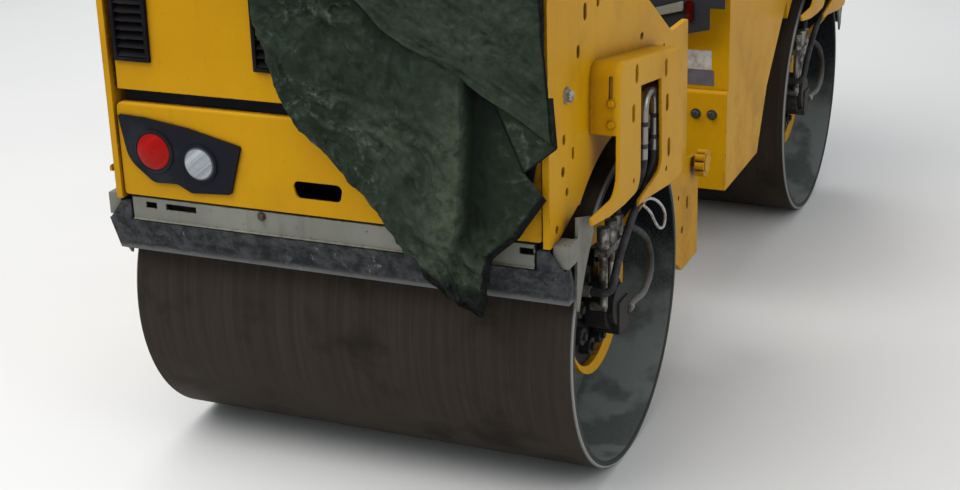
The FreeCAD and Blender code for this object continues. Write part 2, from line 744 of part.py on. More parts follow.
def hood_seal():
    """Upright rubber strip inside the hood's rear sheet that closes the gap above the lamp panel."""
    y0 = -face_reach + panel_lip
    half = hood_half - hood_sheet - running_gap
    strip = box(-half, half, y0 + seat_gap, y0 + seal_thickness, deck_z + deck_thickness
                + seat_gap, deck_z + seal_height)
    return at_end(strip, "rear")


def hood_hinge():
    """Pins of the hood with their brackets on the fixed cover."""
    made = []
    foot_z = hood_top_z - 14 + seat_gap
    for x in hinge_places:
        pin = rod(x - 10, hinge_y, hinge_z, hinge_pin_radius, hinge_length + 20, (1, 0, 0))
        lugs = [plate_x([(hinge_y - 7, hinge_z + 3, 2), (hinge_y + 5, hinge_z - 3), (hinge_y + 6, foot_z),
                         (hinge_y + 36, foot_z), (hinge_y + 30, hinge_z - 2, 5), (hinge_y, hinge_z + 9, 8),
                         (hinge_y - 7, hinge_z + 8, 4)], x0, x0 + 8)
                for x0 in (x - 10, x + hinge_length + 2)]
        made.append(fuse([pin] + lugs))
    return Part.makeCompound(made).translated(V(0, rear_axle_y, 0))


# Lower layer of the tarp as it hangs: x from the machine's middle, z from the deck, corner radius
tarp_hang = [
    (-150, 345, 20), (-112, 305, 40), (-80, 215, 60), (40, 17, 60), (215, -189, 30), (262, -233, 20),
    (345, -279, 12), (372, -225, 30), (470, -95, 40), (496, 55, 30), (494, 345, 20),
]


def tarp():
    """Folded sheet: it lies over the hood and hangs down past the scraper at the rear."""
    back = -face_reach - cluster_depth - bezel_height - 14
    top = hood_top_z + seat_gap
    t = tarp_thickness
    drape = plate_y([(x, deck_z + rise, bend) for x, rise, bend in tarp_hang], back - t, back)
    lap_z = deck_z + tarp_hang[0][1] - 50
    upper = plate_x([(back - t, lap_z), (back - t, top - 30, 40), (back + 60, top + t, 60),
                     (tarp_front, top + t, 15), (tarp_front, top), (-face_reach + 66, top, 44),
                     (-face_reach - 1, top - 60, 44), (back, lap_z + 40, 60), (back, lap_z)],
                    tarp_hang[0][0], tarp_hang[-1][0])
    return fuse([drape, upper]).translated(V(0, rear_axle_y, 0))


def articulation_fork():
    """Two plates from the rear module's front wall to the steering pin."""
    wall_y = rear_axle_y + arch_radius + wall_thickness + 2
    half = fork_gap / 2
    made = []
    for z0 in (pivot_z + half, pivot_z - half - fork_plate):
        arm = plate_z([(-190, wall_y), (190, wall_y), (86, 0), (70, 60, 60), (-70, 60, 60), (-86, 0)],
                      z0, z0 + fork_plate)
        made.append(arm)
    ribs = [plate_x([(wall_y, pivot_z + half + fork_plate), (wall_y + 250, pivot_z + half + fork_plate),
                     (wall_y, deck_z - 40)], x - 8, x + 8) for x in (-150, 150)]
    back = box(-190, 190, wall_y, wall_y + 20, pivot_z - half - fork_plate, pivot_z + half + fork_plate)
    pin = rod(0, 0, pivot_z - half - fork_plate - 12, pivot_pin_radius, fork_gap + 2 * fork_plate + 24,
              (0, 0, 1))
    lug = cylinder_lug()
    return fuse(made + ribs + [back, pin, lug])


def cylinder_lug():
    wall_y = rear_axle_y + arch_radius + wall_thickness + 2
    x, y = barrel_pin
    lugs = []
    for z0 in (pivot_z + 27, pivot_z - 27 - 12):
        lugs.append(plate_z([(x - 40, wall_y), (x + 40, wall_y), (x + 26, y + 28, 20),
                             (x - 26, y + 28, 20)], z0, z0 + 12))
    pin = rod(x, y, pivot_z - 44, eye_pin_radius, 88, (0, 0, 1))
    return fuse(lugs + [pin])


def along_cylinder(distance, side=0.0):
    """A point on the steering cylinder's line, measured from the barrel's pin."""
    dx = rod_eye[0] - barrel_pin[0]
    dy = rod_eye[1] - barrel_pin[1]
    length = math.hypot(dx, dy)
    ux, uy = dx / length, dy / length
    return V(barrel_pin[0] + ux * distance - uy * side, barrel_pin[1] + uy * distance + ux * side,
             pivot_z), V(ux, uy, 0), length


def steering_barrel():
    start, way, length = along_cylinder(34)
    body = Part.makeCylinder(barrel_radius, length * 0.52, start, way)
    eye_at = along_cylinder(0)[0]
    eye = Part.makeCylinder(26, 50, eye_at - V(0, 0, 25), V(0, 0, 1))
    neck = Part.makeCylinder(16, 40, eye_at, way)
    bore = Part.makeCylinder(eye_pin_radius + pin_clearance, 60, eye_at - V(0, 0, 30), V(0, 0, 1))
    rod_start = along_cylinder(70)[0]
    channel = Part.makeCylinder(rod_radius + pin_clearance, length, rod_start, way)
    return fuse([body, eye, neck]).cut([bore, channel])


def steering_rod():
    start, way, length = along_cylinder(150)
    shaft = Part.makeCylinder(rod_radius, length - 150 - 26, start, way)
    eye_at = along_cylinder(length)[0]
    eye = Part.makeCylinder(eye_pin_radius + eye_play + 7, 32, eye_at - V(0, 0, 16), V(0, 0, 1))
    bore = Part.makeCylinder(eye_pin_radius + eye_play, 60, eye_at - V(0, 0, 30), V(0, 0, 1))
    return fuse([shaft, eye]).cut(bore)


def joint_block():
    """Knuckle on the steering pin with the swing bearing's housing at its front."""
    half = fork_gap / 2 - 3
    bush = rod(0, 0, pivot_z - half, pivot_block_radius, 2 * half, (0, 0, 1))
    neck = box(-60, 60, 0, 96, pivot_z - 60, pivot_z + 60)
    shaft = rod(0, 90, pivot_z, swing_shaft_radius, 150, (0, 1, 0))
    flange = rod(0, 90, pivot_z, 78, 24, (0, 1, 0))
    x, y = rod_eye
    arms = []
    for z0 in (pivot_z + 21, pivot_z - 21 - 12):
        arms.append(plate_z([(-30, -45), (x - 22, y - 20, 16), (x - 22, y + 20, 16), (-30, 70)], z0, z0 + 12))
    eye_pin = rod(x, y, pivot_z - 36, eye_pin_radius, 72, (0, 0, 1))
    bore = rod(0, 0, pivot_z - 200, pivot_pin_radius + pin_clearance, 400, (0, 0, 1))
    return fuse([bush, neck, shaft, flange] + arms + [eye_pin]).cut(bore)


def swing_bearing():
    """Housing on the front module that turns about the joint block's shaft."""
    wall_y = front_axle_y - arch_radius - wall_thickness - 2
    ring = rod(0, 114 + seat_gap, pivot_z, 78, 110, (0, 1, 0))
    plate = plate_y([(-230, pivot_z - 140, 30), (230, pivot_z - 140, 30), (230, pivot_z + 150, 30),
                     (-230, pivot_z + 150, 30)], 224, 248)
    beams = [box(x - 12, x + 12, 248, wall_y, pivot_z - 110, pivot_z + 120) for x in (-190, 190)]
    bore = rod(0, 80, pivot_z, swing_shaft_radius + bearing_clearance, 180, (0, 1, 0))
    return fuse([ring, plate] + beams).cut(bore)


def box_back_y():
    """Rear foot of a side box's slanted front edge, above the drum."""
    return front_axle_y - box_reach - 1


def side_box_outline():
    return [(box_back, box_foot_z), (box_back_y() - 294, box_foot_z + 4), (box_back_y() - 203, axle_z + 149),
            (box_back_y(), axle_z + 341), (box_back_y(), floor_z - floor_thickness),
            (box_back, floor_z - floor_thickness)]


def side_box():
    corners = side_box_outline()
    body = plate_x(corners, box_inner, plate_out)
    cover = box(box_inner, plate_out, box_back - 12, box_back, box_foot_z, box_seam_z)
    cover = cover.makeFillet(10, [e for e in cover.Edges if is_along(e, 0)
                                  and e.CenterOfMass.z > box_seam_z - 1 and e.CenterOfMass.y < box_back - 11])
    return both_sides(fuse([body, cover]))


def is_along(edge, axis):
    tangent = edge.tangentAt(edge.FirstParameter)
    return abs((tangent.x, tangent.y, tangent.z)[axis]) > 0.999


def front_side_plate():
    """The front module's plate: an arch over the drum and a nose, without a leg."""
    corners = [
        (-plate_reach, panel_bottom_z - plate_tip_drop), (-plate_reach + 37, panel_bottom_z - plate_tip_drop),
        (-face_reach * 0.62, axle_z + arch_radius * 0.79), (0, axle_z + 200), (box_reach - 37, axle_z + 200),
        (box_reach + 1 - seat_gap, axle_z + 342), (box_reach + 1 - seat_gap, floor_z + 4),
        (box_reach - 47, floor_z + 60, 40), (box_reach - 97, front_hood_z - 40, 40),
        (-plate_reach, front_hood_z - 40, 60),
    ]
    plate = plate_x(corners, plate_in, plate_out)
    arch = rod(plate_in - 1, 0, axle_z, arch_radius, plate_thickness + 2, (1, 0, 0))
    return at_end(plate.cut(arch), "front")


def front_hood():
    """Cover of the front module, hollow sheet with a crowned top."""
    t = hood_sheet
    lower = hood_bottom_z
    back = box_reach - 1
    half = plate_in - seat_gap
    corners = [(-face_reach + 2, lower), (-face_reach + 6, front_hood_z - 60, 60),
               (-face_reach + 90, front_hood_z, 60), (back, front_hood_z + 30, 20), (back, floor_z + 2),
               (back - 20, lower)]
    outer = plate_x(corners, -half, half)
    hollow = [(-face_reach + 2 + t, lower - 1), (-face_reach + 6 + t, front_hood_z - 62, 56),
              (-face_reach + 92, front_hood_z - t, 56), (back - t, front_hood_z + 30 - t, 16),
              (back - t, lower - 1)]
    inner = plate_x(hollow, -half + t, half - t)
    shell = outer.cut(inner)
    neck = rod(180, -120, front_hood_z, 52, 40, (0, 0, 1))
    return at_end(fuse([shell, neck]), "front")


def filler_cap():
    cap = rod(180, -120, front_hood_z + 40 + seat_gap, 60, 26, (0, 0, 1))
    cap = cap.makeChamfer(5, [cap.Edges[0]])
    return at_end(cap, "front")


def operator_floor():
    """Steel platform with a turned-down edge."""
    y0 = platform_y
    y1 = front_axle_y - box_reach - 4
    top = box(-plate_out, plate_out, y0, y1, floor_z - floor_thickness, floor_z)
    skirt = box(-plate_out, plate_out, y0, y0 + floor_thickness, floor_z - 50, floor_z)
    beams = [box(x - 20, x + 20, y0 + floor_thickness, y1, floor_z - 60, floor_z - floor_thickness + 1)
             for x in (-300, 300)]
    wall = box(-300, 300, y1 - 12, y1, deck_z + deck_thickness + seat_gap, floor_z)
    apron = plate_y([(250, floor_z - 49), (plate_in - 24, floor_z - 49), (plate_in - 24, floor_z - 104),
                     (340, floor_z - 128), (250, floor_z - 96)], y0, y0 + floor_thickness)
    return fuse([top, skirt, wall, apron, mirrored(apron)] + beams)


def floor_edge_bars():
    """Slanted bar across each apron below the platform's rear edge."""
    y1 = platform_y - seat_gap
    bar = plate_y([(276, floor_z - 84, 4), (284, floor_z - 62, 4), (378, floor_z - 34, 4),
                   (378, floor_z - 58, 4)], y1 - 8, y1)
    return both_sides(bar)


def floor_reflectors():
    """Red reflector at the outer end of each apron."""
    y1 = platform_y - seat_gap
    return both_sides(plate_y([(384, floor_z - 84, 4), (402, floor_z - 84, 4), (402, floor_z - 34, 4),
                               (384, floor_z - 34, 4)], y1 - 6, y1))


def seat_base():
    top = seat_z - cushion_height - seat_gap
    return plate_x([(-10, floor_z + seat_gap), (270, floor_z + seat_gap), (250, top), (-10, top)], -180, 180)


def seat_cushion():
    y1 = seat_depth - 30
    shape = plate_z([(-seat_half, -30, 60), (seat_half, -30, 60), (seat_half, y1, 90), (-seat_half, y1, 90)],
                    seat_z - cushion_height, seat_z)
    return shape.makeFillet(24, [e for e in shape.Edges if e.CenterOfMass.z > seat_z - 1])


def seat_back():
    top_z = seat_z + seat_back_height
    corners = [(-seat_half, seat_z + 14, 60), (seat_half, seat_z + 14, 60), (seat_half, top_z, 90),
               (-seat_half, top_z, 90)]
    shape = plate_y(corners, -50, 30)
    shape = shape.makeFillet(24, [e for e in shape.Edges if e.CenterOfMass.y > 29])
    shape.rotate(V(0, -50, seat_z), V(1, 0, 0), seat_recline)
    return shape


def seat_frame():
    bars = [box(x - 15, x + 15, -62, -50 - seat_gap, seat_z - 110, seat_z + 300) for x in (-110, 110)]
    for bar in bars:
        bar.rotate(V(0, -50, seat_z), V(1, 0, 0), seat_recline)
    cross = box(-125, 125, -62, -10 - seat_gap, seat_z - 118, seat_z - cushion_height - 3)
    return fuse(bars + [cross])


def roll_bar():
    """Two posts behind the seat joined by a top beam, on foot plates."""
    half = rops_width / 2
    y0 = platform_y + 4
    y1 = y0 + rops_tube
    outer = plate_y([(-half, floor_z + 12), (half, floor_z + 12), (half, rops_top_z, 130),
                     (-half, rops_top_z, 130)], y0, y1)
    inner = plate_y([(-half + rops_tube, floor_z), (half - rops_tube, floor_z),
                     (half - rops_tube, rops_top_z - rops_tube, 80),
                     (-half + rops_tube, rops_top_z - rops_tube, 80)], y0 - 1, y1 + 1)
    hoop = outer.cut(inner)
    feet = [box(x - 50, x + 50, y0, y1 + 40, floor_z + seat_gap, floor_z + 12)
            for x in (-half + rops_tube / 2, half - rops_tube / 2)]
    holes = [rod(x, (y0 + y1) / 2, rops_top_z - rops_tube - 1, canopy_hole_radius, rops_tube + 2, (0, 0, 1))
             for x in (-canopy_hole_spacing / 2, canopy_hole_spacing / 2)]
    return fuse([hoop] + feet).cut(holes)


def console():
    """Pedestal with a sloped dash that carries the steering column."""
    y1 = console_y0 + console_depth
    profile = [(console_y0, floor_z + seat_gap), (y1, floor_z + seat_gap), (y1, floor_z + 350, 30),
               (console_y0 + 20, floor_z + 390, 20), (console_y0 - 10, floor_z + 290, 30)]
    body = plate_x(profile, -console_half, console_half)
    column_end = V(*wheel_centre)
    way = V(0, math.sin(math.radians(wheel_tilt)), -math.cos(math.radians(wheel_tilt)))
    column = Part.makeCylinder(22, 190, column_end + way * 20, way)
    return fuse([body, column])


def steering_wheel():
    ring = Part.makeTorus(wheel_radius - wheel_rim_radius, wheel_rim_radius)
    hub = Part.makeCylinder(34, 26, V(0, 0, -14))
    shaft = Part.makeCylinder(12, 20 - seat_gap, V(0, 0, seat_gap - 20))
    spokes = []
    for step in range(3):
        spoke = box(20, wheel_radius - wheel_rim_radius, -12, 12, -4, 4)
        spoke.rotate(V(0, 0, 0), V(0, 0, 1), 90 + 120 * step)
        spokes.append(spoke)
    wheel = fuse([ring, hub, shaft] + spokes)
    wheel.rotate(V(0, 0, 0), V(1, 0, 0), wheel_tilt)
    return wheel.translated(V(*wheel_centre))


def travel_lever():
    """Lever with a round knob on a bracket at the console's right side."""
    x = console_half + 30
    y = console_y0 - 40
    z = floor_z + 270
    lever = tube([(x, y, z), (x + 6, y - 10, z + 70), (x + 10, y - 30, z + 130),
                  (x + 10, y - 50, z + 170)], 8)
    knob = Part.makeSphere(22, V(x + 10, y - 52, z + 182))
    bracket = box(console_half + seat_gap, x + 22, y - 10, y + 70, z - 30, z + 6)
    return fuse([lever, knob, bracket])


def hand_rail():
    """Bent grab tube beside the operator."""
    x = plate_out - 22
    rail = tube([(x, 80, floor_z + 1), (x, 80, floor_z + 300), (x, 120, floor_z + 390),
                 (x, 240, floor_z + 400), (x, 330, floor_z + 380), (x, 360, floor_z + 300),
                 (x, 360, floor_z + 1)], 15)
    feet = [rod(x, y, floor_z + seat_gap, 20, 10, (0, 0, 1)) for y in (80, 360)]
    return both_sides(fuse([rail] + feet))


def towing_eye():
    """Lashing and towing eye at the front, on a block behind the lamp panel's slot."""
    z = slot_z
    bar = box(-22, 22, -face_reach - 46, -face_reach + 90, z - 12, z + 12)
    eye = rod(0, -face_reach - 24, z - 12, 26, 24, (0, 0, 1))
    hole = rod(0, -face_reach - 24, z - 20, 13, 40, (0, 0, 1))
    stem = box(-22, 22, -face_reach + 60, -face_reach + 90, z - 12, deck_z)
    return at_end(fuse([bar, eye, stem]).cut(hole), "front")


def star_knob():
    """Round knob with eight lobes on the leg's step."""
    y = leg_front - 40
    z = leg_step_z - 8
    lobes = [rod(plate_out + seat_gap + 10, y + 25 * math.cos(a), z + 25 * math.sin(a), 9, 22, (1, 0, 0))
             for a in (math.radians(45 * step) for step in range(8))]
    core = rod(plate_out + seat_gap + 8, y, z, 22, 26, (1, 0, 0))
    stem = rod(plate_out + seat_gap, y, z, 10, 12, (1, 0, 0))
    return both_sides(fuse([core, stem] + lobes)).translated(V(0, rear_axle_y, 0))


def engine_block():
    return box(-engine_half, engine_half, rear_axle_y - engine_reach, rear_axle_y + hood_front - 8,
               deck_z + deck_thickness + seat_gap, hood_top_z - 110)


def build():
    made = {
        "rear_drum": drum().translated(V(0, rear_axle_y, 0)),
        "front_drum": drum().translated(V(0, front_axle_y, 0)),
        "rear_side_plates": both_sides(side_plate("rear")),
        "front_side_plates": both_sides(front_side_plate()),
        "engine_hood": engine_hood(),
        "hood_vents": hood_vents(),
        "hood_hinge_pins": hood_hinge(),
        "hood_seal": hood_seal(),
        "engine_bulkhead": bulkhead(),
        "engine_block": engine_block(),
        "tarp": tarp(),
        "articulation_fork": articulation_fork(),
        "joint_block": joint_block(),
        "swing_bearing": swing_bearing(),
        "steering_cylinder_barrel": steering_barrel(),
        "steering_cylinder_rod": steering_rod(),
        "side_boxes": side_box(),
        "front_hood": front_hood(),
        "filler_cap": filler_cap(),
        "operator_floor": operator_floor(),
        "floor_edge_bars": floor_edge_bars(),
        "floor_reflectors": floor_reflectors(),
        "seat_base": seat_base(),
        "seat_frame": seat_frame(),
        "seat_cushion": seat_cushion(),
        "seat_back": seat_back(),
        "roll_bar": roll_bar(),
        "console": console(),
        "steering_wheel": steering_wheel(),
        "travel_lever": travel_lever(),
        "hand_rails": hand_rail(),
        "towing_eye": towing_eye(),
        "leg_knobs": star_knob(),
    }
    for end in ("rear", "front"):
        made[end + "_cross_frame"] = cross_frame(end)
        made[end + "_lamp_panel"] = lamp_panel(end)
        made[end + "_lamp_housings"] = lamp_pieces(end, "housing")
        made[end + "_outer_lenses"] = lamp_pieces(end, "tail")
        made[end + "_inner_lenses"] = lamp_pieces(end, "clear")
        made[end + "_scraper_bar"] = scraper_bar(end)
        made[end + "_scraper_flap"] = scraper_flap(end)
        made[end + "_hose_guards"] = hose_guard(end)
        made[end + "_drum_yokes"] = drum_yoke(end)
        made[end + "_hub_motors"] = hub_motor(end)
        made[end + "_unions"] = union_pieces(end)
        made[end + "_hoses"] = hoses(end)
    return made


os.makedirs("parts", exist_ok=True)
for name, shape in build().items():
    shape.exportStep("parts/" + name + ".step")
    print(name, len(shape.Solids), "solids", round(shape.Volume / 1e6, 2), "litres", shape.isValid())
for radius, route in hose_routes:
    print("hose of radius", radius, "bends at", [round(bend) for bend, reach in bends(route)])
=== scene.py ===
import json
import math

import bmesh
import bpy
from mathutils import Matrix, Vector, noise
from mathutils.bvhtree import BVHTree


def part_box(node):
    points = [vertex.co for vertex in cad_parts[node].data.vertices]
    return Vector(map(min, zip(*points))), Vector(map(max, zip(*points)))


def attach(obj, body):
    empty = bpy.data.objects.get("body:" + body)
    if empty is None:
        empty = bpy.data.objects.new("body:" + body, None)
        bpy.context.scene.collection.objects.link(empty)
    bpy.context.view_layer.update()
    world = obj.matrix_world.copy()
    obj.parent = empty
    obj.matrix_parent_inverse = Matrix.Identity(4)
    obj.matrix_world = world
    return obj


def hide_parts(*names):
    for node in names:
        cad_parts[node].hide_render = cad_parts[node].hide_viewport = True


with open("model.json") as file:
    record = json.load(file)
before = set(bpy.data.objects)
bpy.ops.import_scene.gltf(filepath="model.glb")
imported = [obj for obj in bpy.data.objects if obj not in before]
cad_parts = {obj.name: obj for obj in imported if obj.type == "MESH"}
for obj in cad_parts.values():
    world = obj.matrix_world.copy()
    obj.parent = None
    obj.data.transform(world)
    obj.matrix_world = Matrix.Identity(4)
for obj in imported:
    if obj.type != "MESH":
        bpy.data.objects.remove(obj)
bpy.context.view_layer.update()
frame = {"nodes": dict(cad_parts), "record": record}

nodes = frame["nodes"]


# Helpers for shader and geometry trees

def addNode(tree, kind, inputs=None, **settings):
    made = tree.nodes.new(kind)
    for key, value in settings.items():
        setattr(made, key, value)
    for key, value in (inputs or {}).items():
        if isinstance(value, bpy.types.NodeSocket):
            tree.links.new(value, made.inputs[key])
        else:
            made.inputs[key].default_value = value
    return made


def maths(tree, operation, a, b=0.0, clamp=False):
    return addNode(tree, "ShaderNodeMath", {0: a, 1: b}, operation=operation, use_clamp=clamp).outputs[0]


def ramp(tree, value, low, high, start=0.0, end=1.0):
    inputs = {"Value": value, "From Min": low, "From Max": high, "To Min": start, "To Max": end}
    return addNode(tree, "ShaderNodeMapRange", inputs, interpolation_type="SMOOTHSTEP").outputs[0]


def mixColour(tree, factor, a, b, blend="MIX"):
    made = addNode(tree, "ShaderNodeMix", data_type="RGBA", blend_type=blend)
    for socket, value in ((made.inputs[0], factor), (made.inputs[6], a), (made.inputs[7], b)):
        if isinstance(value, bpy.types.NodeSocket):
            tree.links.new(value, socket)
        else:
            socket.default_value = value
    return made.outputs[2]


def noiseAt(tree, place, scale, detail=3.0, rough=0.55, stretch=None):
    if stretch is not None:
        place = addNode(tree, "ShaderNodeMapping", {"Vector": place, "Scale": stretch}).outputs[0]
    inputs = {"Vector": place, "Scale": scale, "Detail": detail, "Roughness": rough}
    return addNode(tree, "ShaderNodeTexNoise", inputs).outputs["Fac"]


def splitPlace(tree, place):
    return addNode(tree, "ShaderNodeSeparateXYZ", {0: place}).outputs


def colour(red, green, blue):
    return (red, green, blue, 1.0)


def newMaterial(name):
    material = bpy.data.materials.new(name)
    material.use_nodes = True
    tree = material.node_tree
    tree.nodes.clear()
    shader = addNode(tree, "ShaderNodeBsdfPrincipled")
    output = addNode(tree, "ShaderNodeOutputMaterial")
    tree.links.new(shader.outputs[0], output.inputs[0])
    place = addNode(tree, "ShaderNodeTexCoord").outputs["Object"]
    return material, tree, shader, place


def feed(tree, shader, **sockets):
    for name, value in sockets.items():
        socket = shader.inputs[name.replace("_", " ")]
        if isinstance(value, bpy.types.NodeSocket):
            tree.links.new(value, socket)
        else:
            socket.default_value = value


def bump(tree, height, strength, distance, normal=None):
    inputs = {"Height": height, "Strength": strength, "Distance": distance}
    if normal is not None:
        inputs["Normal"] = normal
    return addNode(tree, "ShaderNodeBump", inputs).outputs[0]


# Paint: a coat that is dusty low down, darkened in the corners with painted shade and grime, and chipped at the edges

def paintMaterial(name, look):
    material, tree, shader, place = newMaterial(name)
    height = splitPlace(tree, place)[2]
    clouds = noiseAt(tree, place, 3.5, 4.0)
    speckle = noiseAt(tree, place, 55.0, 5.0, 0.7)
    streaks = noiseAt(tree, place, 1.0, 4.0, 0.65, (26.0, 26.0, 3.0))
    smudges = noiseAt(tree, place, 7.0, 4.0, 0.65)
    fine = noiseAt(tree, place, 420.0, 2.0)
    rounded = addNode(tree, "ShaderNodeBevel", {"Radius": look["edgeRadius"]}, samples=4).outputs[0]
    facing = addNode(tree, "ShaderNodeNewGeometry").outputs["Normal"]
    align = addNode(tree, "ShaderNodeVectorMath", {0: rounded, 1: facing}, operation="DOT_PRODUCT").outputs["Value"]
    edge = ramp(tree, align, 0.985, 0.90)
    chipped = maths(tree, "MULTIPLY", edge, ramp(tree, speckle, look["chipFrom"], look["chipFrom"] + 0.05))
    # painted shade with grime: the corner colour darkens the paint where ambient occlusion is high, in corners, holes
    # and between parts
    open_ = addNode(tree, "ShaderNodeAmbientOcclusion", {"Distance": 0.045}, samples=6).outputs["AO"]
    corner = maths(tree, "MULTIPLY", ramp(tree, open_, 0.80, 0.34), ramp(tree, speckle, 0.30, 0.55, 0.45, 1.0))
    low = ramp(tree, height, look["dustTop"], look["dustTop"] - 0.75)
    dust = maths(tree, "MULTIPLY", low, ramp(tree, maths(tree, "ADD", clouds, speckle), 0.75, 1.35))
    dust = maths(tree, "MULTIPLY", dust, look["dustAmount"])
    run = maths(tree, "MULTIPLY", ramp(tree, streaks, 0.55, 0.75), look["streaks"])
    shade = mixColour(tree, ramp(tree, clouds, 0.3, 0.7), look["colour"], look["shade"])
    spots = maths(tree, "MULTIPLY", ramp(tree, speckle, 0.62, 0.72), look["spots"])
    shade = mixColour(tree, spots, shade, look["grime"])
    shade = mixColour(tree, run, shade, look["grime"])
    outside = ramp(tree, maths(tree, "ABSOLUTE", splitPlace(tree, place)[0]), 0.463, 0.472)
    greasy = maths(tree, "MULTIPLY", outside, ramp(tree, smudges, 0.53, 0.70, 0.0, look["smudges"]))
    shade = mixColour(tree, greasy, shade, look["grime"])
    shade = mixColour(tree, dust, shade, look["dust"])
    shade = mixColour(tree, corner, shade, look["corner"])
    shade = mixColour(tree, chipped, shade, look["chip"])
    rough = maths(tree, "ADD", look["roughness"], maths(tree, "MULTIPLY", clouds, 0.12))
    rough = maths(tree, "ADD", rough, maths(tree, "MULTIPLY", dust, 0.4), clamp=True)
    wavy = maths(tree, "ADD", maths(tree, "MULTIPLY", fine, 0.35), maths(tree, "MULTIPLY", clouds, 1.4))
    normal = bump(tree, wavy, look["bump"], 0.002, rounded)
    feed(tree, shader, Base_Color=shade, Roughness=rough, Normal=normal)
    feed(tree, shader, Specular_IOR_Level=look["specular"], IOR=look["ior"])
    return material


# the corner colour is painted shade with grime, put where ambient occlusion is high
yellowLook = {
    "colour": colour(0.505, 0.255, 0.002), "shade": colour(0.45, 0.222, 0.002), "grime": colour(0.20, 0.085, 0.008),
    "dust": colour(0.24, 0.13, 0.022), "chip": colour(0.07, 0.030, 0.014), "corner": colour(0.16, 0.060, 0.006),
    "chipFrom": 0.58, "spots": 0.25, "streaks": 0.16, "dustTop": 0.85, "dustAmount": 0.34, "roughness": 0.36,
    "bump": 0.12, "edgeRadius": 0.003, "specular": 0.3, "ior": 1.25, "smudges": 0.25,
}
greyLook = dict(yellowLook, colour=colour(0.205, 0.205, 0.170), shade=colour(0.15, 0.15, 0.125),
                grime=colour(0.05, 0.046, 0.038), dust=colour(0.11, 0.10, 0.08), chip=colour(0.09, 0.05, 0.03),
                corner=colour(0.03, 0.027, 0.022), spots=0.8, streaks=0.35, chipFrom=0.52, roughness=0.58)
darkLook = dict(yellowLook, colour=colour(0.030, 0.031, 0.034), shade=colour(0.020, 0.021, 0.024),
                grime=colour(0.010, 0.009, 0.008), dust=colour(0.09, 0.08, 0.065), chip=colour(0.12, 0.11, 0.10),
                corner=colour(0.008, 0.008, 0.008), chipFrom=0.60, roughness=0.48)
motorLook = dict(darkLook, colour=colour(0.014, 0.014, 0.015), shade=colour(0.030, 0.028, 0.025), dustAmount=0.75,
                 dustTop=1.1)
castLook = dict(darkLook, colour=colour(0.13, 0.14, 0.15), shade=colour(0.09, 0.095, 0.10), bump=0.5)


# Rolling drum: asphalt film in rings round the shell; inside its ends dull paint and stains, lighter towards the bottom
# with dust and painted light, darker higher up with painted shade

def drumMaterial(look):
    material, tree, shader, place = newMaterial("drumSteel")
    split = splitPlace(tree, place)
    across = maths(tree, "ABSOLUTE", split[0])
    rings = noiseAt(tree, place, 1.0, 4.0, 0.7, (90.0, 1.6, 1.6))
    patches = noiseAt(tree, place, 5.0, 5.0, 0.6)
    blots = noiseAt(tree, place, 7.5, 3.0, 0.5)
    grit = noiseAt(tree, place, 260.0, 3.0, 0.7)
    film = mixColour(tree, ramp(tree, rings, 0.35, 0.68), look["film"], look["worn"])
    film = mixColour(tree, ramp(tree, patches, 0.52, 0.70), film, look["stain"])
    edge = ramp(tree, across, look["half"] - 0.005, look["half"] - 0.001)
    film = mixColour(tree, maths(tree, "MULTIPLY", edge, 0.7), film, look["rim"])
    # painted light and shade inside the drum: a light dusty colour towards the bottom, flecks of it near the bottom,
    # and a near-black painted shade higher up
    lowerInside = maths(tree, "ADD", split[2], maths(tree, "MULTIPLY", maths(tree, "SUBTRACT", patches, 0.5), 0.35))
    inside = mixColour(tree, ramp(tree, lowerInside, 0.42, 0.15), look["inner"], look["innerDust"])
    inside = mixColour(tree, ramp(tree, blots, 0.49, 0.59, 0.0, 0.5), inside, look["innerStain"])
    lowerFlecks = maths(tree, "MULTIPLY", ramp(tree, grit, 0.45, 0.80, 0.0, 0.6), ramp(tree, lowerInside, 0.60, 0.20))
    inside = mixColour(tree, lowerFlecks, inside, look["innerDust"])
    flipped = maths(tree, "SUBTRACT", maths(tree, "ABSOLUTE", split[1]), look["axleY"])
    ray = addNode(tree, "ShaderNodeCombineXYZ", {1: flipped, 2: maths(tree, "SUBTRACT", split[2], look["axleZ"])})
    reach = addNode(tree, "ShaderNodeVectorMath", {0: ray.outputs[0]}, operation="LENGTH").outputs["Value"]
    mouth = ramp(tree, across, look["half"] - 0.004, look["half"] - 0.001)
    inside = mixColour(tree, mouth, inside, look["endFace"])
    brightRim = maths(tree, "MULTIPLY", mouth, ramp(tree, reach, look["axleZ"] - 0.0075, look["axleZ"] - 0.0045))
    inside = mixColour(tree, brightRim, inside, look["rim"])
    facing = addNode(tree, "ShaderNodeNewGeometry").outputs["Normal"]
    facing = addNode(tree, "ShaderNodeVectorTransform", {"Vector": facing}, vector_type="NORMAL",
                     convert_from="WORLD", convert_to="OBJECT").outputs[0]  # so that a turned drum keeps its look
    outward = addNode(tree, "ShaderNodeVectorMath", {0: facing, 1: radialFrom(tree, place)},
                      operation="DOT_PRODUCT").outputs["Value"]
    outer = ramp(tree, outward, 0.30, 0.55)
    shade = mixColour(tree, outer, inside, film)
    rough = maths(tree, "ADD", maths(tree, "MULTIPLY", rings, 0.22), 0.36)
    rough = maths(tree, "ADD", rough, maths(tree, "MULTIPLY", patches, 0.25), clamp=True)
    normal = bump(tree, maths(tree, "ADD", grit, maths(tree, "MULTIPLY", rings, 1.5)), 0.25, 0.0015)
    feed(tree, shader, Base_Color=shade, Roughness=rough, Normal=normal, Metallic=0.0)
    feed(tree, shader, Specular_IOR_Level=0.10)
    return material


